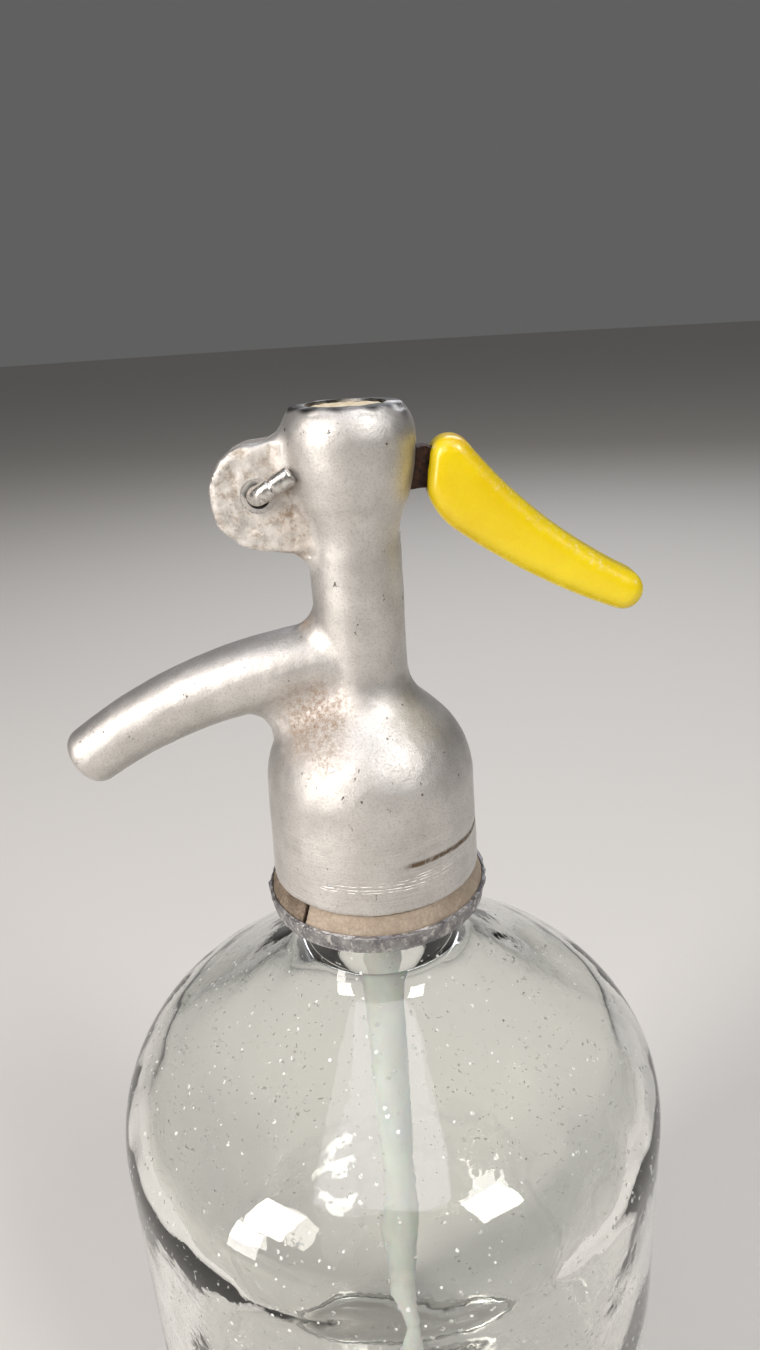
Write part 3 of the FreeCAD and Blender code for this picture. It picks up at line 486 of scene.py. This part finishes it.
# glossy moulded urea plastic: deep warm yellow, oranger on its crown and rubbed pale along one ridge
def makeYellowFinish():
    material, shader = newFinish("glossyYellowPlastic", "#EED20A", 0.3, IOR=1.5, Coat_Weight=0.2,
                                 Coat_Roughness=0.14, Subsurface_Weight=0.05, Subsurface_Scale=0.002)
    tone = mottled(material, 0.3, 0.7, "#D9BC06", "#E4CC0C", size=10, detail=3)
    crown = addNode(material, "Attribute", attribute_name="crown").outputs["Fac"]
    tone = blendColours(material, sums(material, "MULTIPLY", crown, 0.6), tone, "#CF9608")
    ridge = addNode(material, "Attribute", attribute_name="ridge").outputs["Fac"]
    rubs = ramp(material, grainPattern(material, 1.1, 6, rough=0.8), 0.54, 0.62)
    scuffed = sums(material, "MULTIPLY", ridge, rubs)
    tone = blendColours(material, sums(material, "MULTIPLY", scuffed, 0.6), tone, "#FFF3B8")
    hazy = ramp(material, grainPattern(material, 2.5, 6, rough=0.75), 0.5, 0.75, 0.25, 0.4)
    feed(material, shader, Base_Color=tone, Roughness=sums(material, "MULTIPLY_ADD", scuffed, 0.3, hazy),
         Normal=raised(material, sums(material, "SUBTRACT", grainPattern(material, 3.5, 3), scuffed), 0.03))
    return material


# mild steel gone brown with rust
def makeRustFinish():
    material, shader = newFinish("brownRustedSteel", "#3A2417", 0.7, 0.35)
    tone = mottled(material, 0.35, 0.65, "#160D0A", "#4A2B1C", size=0.9, detail=5, rough=0.7)
    feed(material, shader, Base_Color=tone,
         Roughness=ramp(material, grainPattern(material, 0.5, 4), 0.3, 0.7, 0.45, 0.85),
         Normal=raised(material, grainPattern(material, 0.5, 5), 0.1))
    return material


# soft aluminium wire: bright, with drawn streaks and plier marks
def makeWireFinish():
    material, shader = newFinish("drawnAluminiumWire", "#D2D0CD", 0.3, 1.0)
    tone = mottled(material, 0.35, 0.65, "#B9B5B0", "#DEDCD9", size=0.8, detail=4)
    feed(material, shader, Base_Color=tone,
         Roughness=ramp(material, grainPattern(material, 0.4, 4), 0.3, 0.7, 0.22, 0.42),
         Normal=raised(material, grainPattern(material, 0.9, 3), 0.03))
    return material


# yellowed cream plug, dry and matt
def makePlugFinish():
    material, shader = newFinish("agedCreamPlastic", "#D9C9A6", 0.6, IOR=1.5)
    tone = mottled(material, 0.35, 0.65, "#B9A27A", "#E2D6BB", size=1.2, detail=5, rough=0.7)
    feed(material, shader, Base_Color=tone, Normal=raised(material, grainPattern(material, 0.7, 4), 0.1))
    return material


# milky polythene tube: light comes through it, softly blurred
def makeTubeFinish():
    material, shader = newFinish("milkyPolythene", "#F2F4F0", 0.4, IOR=1.5,
                                 Subsurface_Weight=0.4, Subsurface_Scale=0.003)
    tone = mottled(material, 0.35, 0.65, "#E9ECE8", "#FAFBF8", size=5, detail=4, stretch=(1, 1, 0.3))
    feed(material, shader, Base_Color=tone, Normal=raised(material, grainPattern(material, 2, 3), 0.05))
    return material


# turned brass, dulled: fine tool rings round the axis
def makeBrassFinish():
    material, shader = newFinish("turnedBrass", "#B8924F", 0.3, 1.0)
    rings = grainPattern(material, 2.0, 4, (0.3, 0.3, 12))
    tone = mottled(material, 0.35, 0.65, "#9A7638", "#CBA564", size=1.5, detail=4)
    feed(material, shader, Base_Color=tone, Roughness=ramp(material, rings, 0.3, 0.7, 0.24, 0.42),
         Normal=raised(material, rings, 0.02))
    return material


# black rubber: matt with a faint bloom
def makeRubberFinish():
    material, shader = newFinish("blackRubber", "#1C1B1B", 0.8, IOR=1.52)
    tone = mottled(material, 0.4, 0.7, "#171616", "#2E2C2B", size=1.5, detail=4)
    feed(material, shader, Base_Color=tone, Normal=raised(material, grainPattern(material, 0.4, 3), 0.03))
    return material


# red vulcanised fibre washer
def makeFibreFinish():
    material, shader = newFinish("redVulcanisedFibre", "#7C3327", 0.65, IOR=1.5)
    tone = mottled(material, 0.35, 0.65, "#662519", "#8F4234", size=0.6, detail=5, stretch=(1, 1, 4))
    feed(material, shader, Base_Color=tone, Normal=raised(material, grainPattern(material, 0.5, 3), 0.03))
    return material


# drawn spring wire: grey steel with a dull sheen
def makeSpringFinish():
    material, shader = newFinish("drawnSpringSteel", "#8E8D8C", 0.35, 1.0)
    tone = mottled(material, 0.35, 0.65, "#7A7977", "#A3A2A0", size=0.8, detail=4)
    feed(material, shader, Base_Color=tone,
         Roughness=ramp(material, grainPattern(material, 0.4, 3), 0.3, 0.7, 0.28, 0.45))
    return material


print("finishes are mixed")


# cast head: turned body, ear and spout melted together with soft hollows, then bored and slotted

headForm = {
    "skirtRadius": 18.8, "domeRadius": 18.3, "domeRise": 5.8, "domeRound": 15.5, "domeSlope": 46.0,
    "hollow": 9.3, "stemRadius": 7.65, "rootRise": 46.5, "waistRadius": 9.3, "waistRise": 54.5,
    "bellyRadius": 10.7, "bellyRise": 63.0, "rimRadius": 8.6, "swell": 14.0, "side": 28.0, "crown": 8.0,
    "spoutRise": 27.8, "spoutBend": 84.0, "spoutTurn": 32.0, "spoutStraight": 7.0, "spoutRoot": 7.0,
    "spoutTip": 5.25, "spoutNose": 2.2, "outletRadius": 3.2, "channel": 2.75,
    "earSpan": 8.8, "earRadius": 7.7, "earEdge": 0.8, "earTop": 9.0, "earHeel": 9.1, "earRoot": 10.6,
    "pinHole": 1.8, "holeSag": 0.45, "recess": 2.7, "recessDepth": 0.28, "rimOpening": 6.4,
    "softening": 3.6, "meltGrain": 0.6, "meltShrink": 0.12, "grain": 0.38,
}
# what is bored out: steps are radius, foot and top above the seat
headBores = {
    "skirt": 16.2, "steps": ((6.0, 0, 20.5), (3.5, 20.5, 33), (5.2, 33, 49), (6.6, 49, 65)),
    "plug": 7.4, "plugFoot": 65, "lipUnder": 0.9, "lipOver": 0.5,
    "slotWidth": 4.6, "slotReach": 15.4, "slotFoot": 18.2, "slotLedge": 4.6, "slotFloor": 7.65,
    "slotRoof": 6.2, "slotCrown": 15.4, "slotFront": 2,
}
# where the ear's flat faces lie, and the wear: dirt is a place and its reach; holeShade is the radius of
# painted shade inside the pin hole
headWear = {
    "earInner": 3.4, "earOuter": 4.9, "earBack": 9, "earFront": -5.5, "earBelow": 12, "earAbove": 10,
    "rimDent": (7.6, -3.6, 314.4), "dentReach": 2.6, "ridgeRadius": 6.4, "ridgeWidth": 1.1,
    "holeShade": 1.9,
    "dirt": (((-9, -8, 265), 9.0), ((-6, -10, 259), 6.0), ((-10.5, -4.4, 303), 3.2),
             ((-9.6, -4.4, 298), 3.8), ((-9.0, -4.4, 293), 3.2), ((-9.2, -2, 280.5), 2.6),
             ((-9, 8, 265), 7.0), ((-10, 4.4, 298), 4.0), ((10.4, -1, 300), 3.0)),
}


def spoutStations(form, radiusAt, reach, step=1.2):
    bendLength = form["spoutBend"] * math.radians(form["spoutTurn"])
    whole = bendLength + form["spoutStraight"]
    level = seatLevel + form["spoutRise"]

    def spot(run):
        turn = min(run, bendLength) / form["spoutBend"]
        beyond = max(0.0, run - bendLength)
        heading = Vector((-math.cos(turn), -math.sin(turn)))
        drop = form["spoutBend"] * (1 - math.cos(turn))
        centre = Vector((-form["spoutBend"] * math.sin(turn), level - drop))
        return centre + heading * beyond, heading
    count = round(reach(whole) / step)
    return [(*spot(reach(whole) * part / count), radiusAt(reach(whole) * part / count, whole))
            for part in range(count + 1)], spot, whole


def headBody(form):
    slope = math.radians(form["domeSlope"])
    domeFoot = seatLevel + form["domeRise"]
    domeMiddle = form["domeRadius"] - form["domeRound"]
    edge = (domeMiddle + form["domeRound"] * math.cos(slope), domeFoot + form["domeRound"] * math.sin(slope))
    hollowRadius = form["stemRadius"] + form["hollow"] * (1 - math.cos(slope))
    hollowFoot = edge[1] + (edge[0] - hollowRadius) / math.tan(slope)
    return [
        (0, skirtFoot), (form["skirtRadius"], skirtFoot),
        (form["domeRadius"], domeFoot, form["domeRound"]), edge,
        (hollowRadius, hollowFoot, -form["hollow"]),
        (form["stemRadius"], hollowFoot + form["hollow"] * math.sin(slope)),
        (form["stemRadius"], seatLevel + form["rootRise"], -form["swell"]),
        (form["waistRadius"], seatLevel + form["waistRise"], form["side"]),
        (form["bellyRadius"], seatLevel + form["bellyRise"], form["crown"]),
        (form["rimRadius"], crownLevel), (0, crownLevel),
    ]


def earOutline(form):
    inner = -form["stemRadius"] / 2
    return [
        (inner, pivotLevel + form["earTop"]), (pivotX, pivotLevel + form["earRadius"], form["earRadius"]),
        (pivotX - form["earRadius"], pivotLevel, form["earRadius"] + 0.8),
        (pivotX - 0.8, pivotLevel - form["earHeel"]), (inner, pivotLevel - form["earRoot"]),
    ]


def makeHead(finish):
    form = headForm

    def outer(run, whole):
        return form["spoutRoot"] + (form["spoutTip"] - form["spoutRoot"]) * run / whole
    nose = form["spoutNose"]
    stations, spot, whole = spoutStations(form, outer, lambda length: length - nose)
    for quarter in (0.25, 0.5, 0.75, 0.9, 1.0):
        turn = quarter * math.pi / 2
        centre, heading = spot(whole - nose + nose * math.sin(turn))
        stations.append((centre, heading, form["spoutTip"] - nose * (1 - math.cos(turn)) * 0.95))
    ear = plate(earOutline(form), form["earSpan"])
    rims = [side for side in ear.edges if abs(side.verts[0].co.y - side.verts[1].co.y) < 1e-6]
    bmesh.ops.bevel(ear, geom=rims, offset=form["earEdge"], offset_type="OFFSET", segments=3, profile=0.5,
                    affect="EDGES", material=-1, clamp_overlap=True)
    solids = roughObject("headSolids", lathe(headBody(form), closed=False), ear, taperedTube(stations))
    melted = solids.copy()
    melted.data = solids.data.copy()
    bpy.context.scene.collection.objects.link(melted)
    soft = form["softening"]
    worked(melted, voxels(form["meltGrain"]), swelling(soft), voxels(form["meltGrain"]), smoothing(6),
           swelling(-soft - form["meltShrink"]))
    bothShapes = bmesh.new()
    bothShapes.from_mesh(solids.data)
    bothShapes.from_mesh(melted.data)
    bpy.data.objects.remove(melted)
    bpy.data.objects.remove(solids)
    head = worked(roughObject("head", bothShapes), voxels(form["grain"]), smoothing(5))

    def castSkin(spot, normal):
        depth = 0.08 * lumps(spot, 5.0) + 0.04 * lumps(spot, 1.6, 4.0) - 0.05
        if onEarFace(spot, normal):
            out = math.hypot(spot.x - pivotX, spot.z - pivotLevel)
            away = abs(out - headWear["ridgeRadius"]) / headWear["ridgeWidth"]
            ridge = max(0.0, 1 - away) if spot.x < pivotX + 2 else 0.0
            depth += 0.16 * lumps(spot, 1.2, 8.0) + 0.3 * lumps(spot, 2.8, 9.0) + 0.2 * ridge - 0.08
        elif spot.x < pivotX - 4:
            depth += 0.22 * lumps(spot, 2.0, 6.0) - 0.05 if spot.z > pivotLevel - 10 else 0.0
        if spot.z > crownLevel - 1.2:
            depth -= 0.16 * abs(lumps(spot, 2.2, 3.0))
            fromDent = (spot - Vector(headWear["rimDent"])).length
            depth -= 0.5 * max(0.0, 1 - fromDent / headWear["dentReach"])
        return depth
    dentSurface(head, castSkin)

    bores = headBores
    cavity = [(0, skirtFoot - 1), (bores["skirt"], skirtFoot - 1), (bores["skirt"], seatLevel)]
    for radius, foot, top in bores["steps"]:
        cavity += [(radius, seatLevel + foot), (radius, seatLevel + top)]
    cavity += [
        (bores["plug"], seatLevel + bores["plugFoot"]), (bores["plug"], crownLevel - bores["lipUnder"]),
        (form["rimOpening"], crownLevel - bores["lipOver"]), (form["rimOpening"], crownLevel + 1),
        (0, crownLevel + 1),
    ]
    barrel = form["bellyRadius"]
    back, front = pivotX - bores["slotReach"], barrel + bores["slotFront"]
    foot, ledge = pivotLevel - bores["slotFoot"], pivotLevel - bores["slotLedge"]
    sill, roof = pivotLevel - bores["slotFloor"], pivotLevel + bores["slotRoof"]
    crown = pivotLevel + bores["slotCrown"]
    slot = [(back, foot), (-barrel, foot), (-barrel, ledge), (0, ledge), (0, sill), (front, sill),
            (front, roof), (-barrel, roof), (-barrel, crown), (back, crown)]
    way, _, _ = spoutStations(form, lambda run, length: form["channel"], lambda length: length - 2)
    bore, _, _ = spoutStations(form, lambda run, length: form["outletRadius"], lambda length: length + 1)
    faceY = -form["earSpan"] / 2
    cut(head, lathe(cavity, closed=False, steps=96), plate(slot, bores["slotWidth"]),
        taperedTube(way, 32), taperedTube(bore[-6:], 32),
        rod(form["pinHole"], 14, (pivotX + 0.1, 0, pivotLevel - form["holeSag"])),
        rod(form["recess"], 2 * form["recessDepth"], (pivotX, faceY, pivotLevel - form["holeSag"] / 2)))
    paintHead(head)
    keepPiece(head, "headCasting", "siphon", finish, ["head_casting"], 35)


def onEarFace(spot, normal):
    wear = headWear
    return (abs(normal.y) > 0.85 and wear["earInner"] < abs(spot.y) < wear["earOuter"]
            and pivotX - wear["earBack"] < spot.x < wear["earFront"]
            and pivotLevel - wear["earBelow"] < spot.z < pivotLevel + wear["earAbove"])


# stores where dirt sits, where the rim is worn dark, where shade is painted dark inside the pin hole, and
# where the ear is crusted
def paintHead(head):
    marks = {"grime": [], "worn": [], "crust": []}
    for vertex in head.data.vertices:
        spot = vertex.co
        ragged = 0.5 + 0.5 * lumps(spot, 2.2, 2.0)
        dirt = max(1 - (spot - Vector(centre)).length / reach for centre, reach in headWear["dirt"])
        marks["grime"].append(min(1.0, max(0.0, dirt * 2.0 * (0.35 + ragged))))
        nearRim = (spot.z - crownLevel + 0.75 + 0.8 * lumps(spot, 2.4, 5.0)) / 0.6
        onRight = 1.3 - Vector((spot.x - 8.6, (spot.y + 3) / 2, (spot.z - 312.5) / 2.2)).length
        fromPin = math.hypot(spot.x - pivotX, spot.z - pivotLevel)
        # painted shade: the inside of the pin hole is coloured dark through the worn mark
        holeShadeMask = 1.0 if abs(spot.y) < 4.2 and fromPin < headWear["holeShade"] else 0.0
        marks["worn"].append(min(1.0, max(0.0, nearRim, onRight * 1.5 * ragged, holeShadeMask)))
        marks["crust"].append(1.0 if onEarFace(spot, vertex.normal) else 0.0)
    storeMarks(head, marks)


castFinish = makeCastFinish()
makeHead(castFinish)


# bottle: thick wall, wavy inside as blown glass is, dished base

bottleForm = {
    "radius": 53.4, "wall": 5.0, "heel": 9.0, "foot": 4.0, "punt": 7.0, "base": 9.0, "floorRound": 8.0,
    "shoulder": 21.2, "slope": 33.0, "neckRadius": 14.5, "neckFillet": 9.0, "mouth": 8.5, "waist": 12.0,
    "lipFoot": 236.0, "lipRound": 1.0, "coneDrop": 13.7, "waves": 0.42,
    "grooveTop": 3.0, "grooveEdge": 3.4, "mouthBend": 6.0, "mouthStep": 3.2,
}


def makeBottle(finish):
    form = bottleForm
    slope = math.radians(form["slope"])
    rise, lean = math.sin(slope), math.cos(slope)
    slant = math.tan(slope)
    neck = form["neckRadius"]
    middle = form["radius"] - form["shoulder"]
    coneTop = rimLevel - form["coneDrop"]
    coneFootRadius = middle + form["shoulder"] * rise
    coneFoot = coneTop - (coneFootRadius - neck) * slant
    sideTop = coneFoot - form["shoulder"] * lean
    filletRadius = neck + form["neckFillet"] * (1 - rise)
    filletFoot = coneTop - (filletRadius - neck) * slant
    filletTop = filletFoot + form["neckFillet"] * lean
    innerBend = form["shoulder"] - form["wall"]
    innerRadius = form["radius"] - form["wall"]
    innerCone = (middle + innerBend * rise, sideTop + innerBend * lean)
    mouthFoot = innerCone[1] + (innerCone[0] - form["mouth"]) * slant
    lipTop = levelOf("bottle")
    footRadius = form["radius"] - form["heel"]
    puntRadius = footRadius - form["foot"]
    puntBend = (puntRadius ** 2 + form["punt"] ** 2) / (2 * form["punt"])
    floor = form["punt"] + form["base"]
    lip = form["lipRound"]
    shape = lathe([
        (0, form["punt"], -puntBend), (puntRadius, 0.0), (footRadius, 0.0, form["heel"]),
        (form["radius"], form["heel"]), (form["radius"], sideTop, form["shoulder"]),
        (coneFootRadius, coneFoot), (filletRadius, filletFoot, -form["neckFillet"]),
        (neck, filletTop), (neck, rimLevel - form["grooveEdge"], 0.4),
        (neck - 0.4, rimLevel - form["grooveTop"]), (form["waist"], rimLevel - form["grooveTop"]),
        (form["waist"], form["lipFoot"]),
        (neck - 0.5, form["lipFoot"], 0.5), (neck, form["lipFoot"] + 0.5), (neck, lipTop - lip, lip),
        (neck - lip, lipTop), (form["mouth"] + 0.5, lipTop, 0.5), (form["mouth"], lipTop - 0.5),
        (form["mouth"], mouthFoot, -form["mouthBend"]),
        (form["mouth"] + form["mouthStep"], mouthFoot - form["mouthStep"] * slant), (*innerCone, -innerBend),
        (innerRadius, sideTop), (innerRadius, floor + form["floorRound"], -form["floorRound"]),
        (innerRadius - form["floorRound"], floor), (0, floor),
    ], closed=False, steps=192, step=1.0)
    bottle = roughObject("bottle", shape)

    def blownWaves(spot, normal):
        around = Vector((spot.x, spot.y, 0))
        facingIn = around.normalized().dot(normal) < -0.05
        underShoulder = normal.z < -0.2 and spot.z > 20
        inside = facingIn or underShoulder or (normal.z > 0.9 and spot.z < 30)
        if inside and floor - 0.8 < spot.z < rimLevel - 8:
            return form["waves"] * (lumps(spot, 16, 1.0) + 0.5 * lumps(spot, 7, 3.0))
        return 0.03 * lumps(spot, 11, 2.0) - 0.035 if spot.z < rimLevel - 10 else 0.0
    dentSurface(bottle, blownWaves)
    keepPiece(bottle, "glassBottle", "siphon", finish, ["bottle"], 60)


makeBottle(makeGlassFinish())


# neck ring: a soft lead cup, its rim nicked all round

ringForm = {"radius": 20.4, "footRadius": 19.75, "depth": 3.6, "floor": 1.2, "wall": 0.85, "bore": 15.0,
            "nicks": 64, "nickDepth": 0.62, "nickWidth": (0.5, 1.6), "nickShare": (0.3, 1.0), "nickLean": 0.6,
            "nickFall": 2.6, "seed": 11}


def makeRing(finish):
    form = ringForm
    foot = rimLevel - form["depth"]
    cup = form["radius"] - form["wall"]
    shape = lathe([
        (form["bore"], foot), (form["footRadius"] - 0.5, foot, 0.5), (form["footRadius"], foot + 0.5),
        (form["radius"], rimLevel - 0.35, 0.35), (form["radius"] - 0.35, rimLevel),
        (cup + 0.2, rimLevel, 0.2),
        (cup, rimLevel - 0.2), (cup, foot + form["floor"]), (form["bore"], foot + form["floor"]),
    ], steps=420, step=0.12)
    ring = roughObject("ring", shape)
    draw = random.Random(form["seed"])
    lean = form["nickLean"]
    cuts = [(draw.uniform(-math.pi, math.pi), draw.uniform(*form["nickWidth"]),
             draw.uniform(*form["nickShare"]), draw.uniform(-lean, lean)) for _ in range(form["nicks"])]

    def nicked(spot, normal):
        out = math.hypot(spot.x, spot.y)
        if out < cup + 0.05:
            return 0.0
        turn = math.atan2(spot.y, spot.x)
        nearRim = max(0.0, 1 - (rimLevel - spot.z) / form["nickFall"])
        depth = 0.0
        for angle, width, share, tilt in cuts:
            along = (turn - angle + math.pi) % (2 * math.pi) - math.pi
            away = abs(along * form["radius"] + tilt * (rimLevel - spot.z)) / width
            if away < 1:
                depth = max(depth, share * (1 - away ** 2))
        return -form["nickDepth"] * nearRim * depth + 0.16 * lumps(spot, 1.5) - 0.14
    dentSurface(ring, nicked)
    keepPiece(ring, "nickedNeckRing", "siphon", finish, ["neck_ring"], 40)


makeRing(makeLeadFinish())


# the split collar, plug, lever bar, grip and pin start from the CAD shapes and get their worn skins

collarForm = {"grain": 0.3, "roughness": 0.12, "shares": {"left": 1.0, "right": 0.45}}
plugForm = {"grain": 0.35, "crown": 0.75, "crownFall": 0.7}
leverForm = {"barGrain": 0.25, "barRoughness": 0.1, "gripGrain": 0.42, "crownPlace": 6, "crownReach": 5}
pinForm = {"grain": 0.14, "lean": 29.5, "nickPlace": 3.1, "nickWidth": 0.28, "nickDepth": 0.3, "swell": 0.3}


def makeCollar(finishes):
    for side, share in collarForm["shares"].items():
        depth = collarForm["roughness"] * share
        half = worked(nodeCopy("collar_half_" + side), voxels(collarForm["grain"]), smoothing(3))

        def crumbled(spot, normal):
            return depth * (lumps(spot, 0.9) + 0.6 * lumps(spot, 2.6, 3.0)) - depth * 0.7
        dentSurface(half, crumbled)
        keepPiece(half, side + "CollarHalf", "siphon", finishes[side], ["collar_half_" + side], 50)


def makePlug(finish):
    plug = worked(nodeCopy("top_plug"), voxels(plugForm["grain"]), smoothing(4))
    top = levelOf("top_plug")

    def crowned(spot, normal):
        fromRim = headForm["rimOpening"] - 0.1 - math.hypot(spot.x, spot.y)
        inward = min(1.0, max(0.0, fromRim / plugForm["crownFall"]))
        return (plugForm["crown"] * inward if spot.z > top - 0.6 else 0.0) + 0.1 * lumps(spot, 1.2) - 0.08
    dentSurface(plug, crowned)
    keepPiece(plug, "creamTopPlug", "siphon", finish, ["top_plug"], 50)


def makeLever(barFinish, gripFinish):
    form = leverForm
    bar = worked(nodeCopy("lever_arm"), voxels(form["barGrain"]), smoothing(4))
    dentSurface(bar, lambda spot, normal: form["barRoughness"] * lumps(spot, 0.8) - 0.08)
    keepPiece(bar, "rustedLeverBar", "lever", barFinish, ["lever_arm"], 50)
    grip = worked(nodeCopy("lever_grip"), voxels(form["gripGrain"]), smoothing(22))
    dentSurface(grip, lambda spot, normal: 0.05 * lumps(spot, 7.0))
    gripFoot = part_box("lever_grip")[0].x / mm
    marks = {"crown": [], "ridge": []}
    for vertex in grip.data.vertices:
        facing = vertex.normal
        away = abs(vertex.co.x - gripFoot - form["crownPlace"]) / form["crownReach"]
        marks["crown"].append(max(0.0, facing.z) * max(0.0, 1 - away))
        marks["ridge"].append(max(0.0, 1 - abs(facing.z - 0.5) / 0.35) if facing.y < 0 else 0.0)
    storeMarks(grip, marks)
    keepPiece(grip, "yellowThumbGrip", "lever", gripFinish, ["lever_grip"], 60)


def makePin(finish):
    form = pinForm
    pin = worked(nodeCopy("pivot_pin"), voxels(form["grain"]), smoothing(5))
    lean = math.radians(form["lean"])
    tailWay = Vector((math.cos(lean), 0, math.sin(lean)))

    def plierMarks(spot, normal):
        along = (spot - Vector((pivotX, 0, pivotLevel))).dot(tailWay)
        outside = spot.y < -5.2
        nick = max(0.0, 1 - abs(along - form["nickPlace"]) / form["nickWidth"]) if outside else 0.0
        swell = form["swell"] if spot.y < -4.5 else 0.02
        return swell - form["nickDepth"] * nick + 0.03 * lumps(spot, 1.4)
    dentSurface(pin, plierMarks)
    keepPiece(pin, "bentWirePin", "siphon", finish, ["pivot_pin"], 50)


def makeSpring(finish):
    spring = keepPiece(nodeCopy("return_spring"), "returnSpringWire", "siphon", finish,
                       ["return_spring"], 60)
    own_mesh(spring)


makeCollar({"left": makeCollarFinish("dirtyZinc", "#57493A", "#A59584", 0.8),
            "right": makeCollarFinish("dustyZinc", "#8F8070", "#B7A897", 0.6)})
makePlug(makePlugFinish())
makeLever(makeRustFinish(), makeYellowFinish())
makePin(makeWireFinish())
makeSpring(makeSpringFinish())
print("worn pieces are in place")


# CAD nodes that keep their shape get their real finishes

keptFinishes = [
    (makeRubberFinish(), ["neck_gasket", "stem_packing", "valve_washer"]),
    (makeBrassFinish(), ["valve_seat", "gland_nut", "tube_nipple", "valve_stem", "valve_disc", "valve_nut",
                         "spring_plate", "stem_cap"]),
    (makeFibreFinish(), ["nipple_seal"]),
    (makeTubeFinish(), ["dip_tube"]),
]
for finish, members in keptFinishes:
    for node in members:
        nodes[node].data.materials.clear()
        nodes[node].data.materials.append(finish)
print("inner pieces have their finishes")
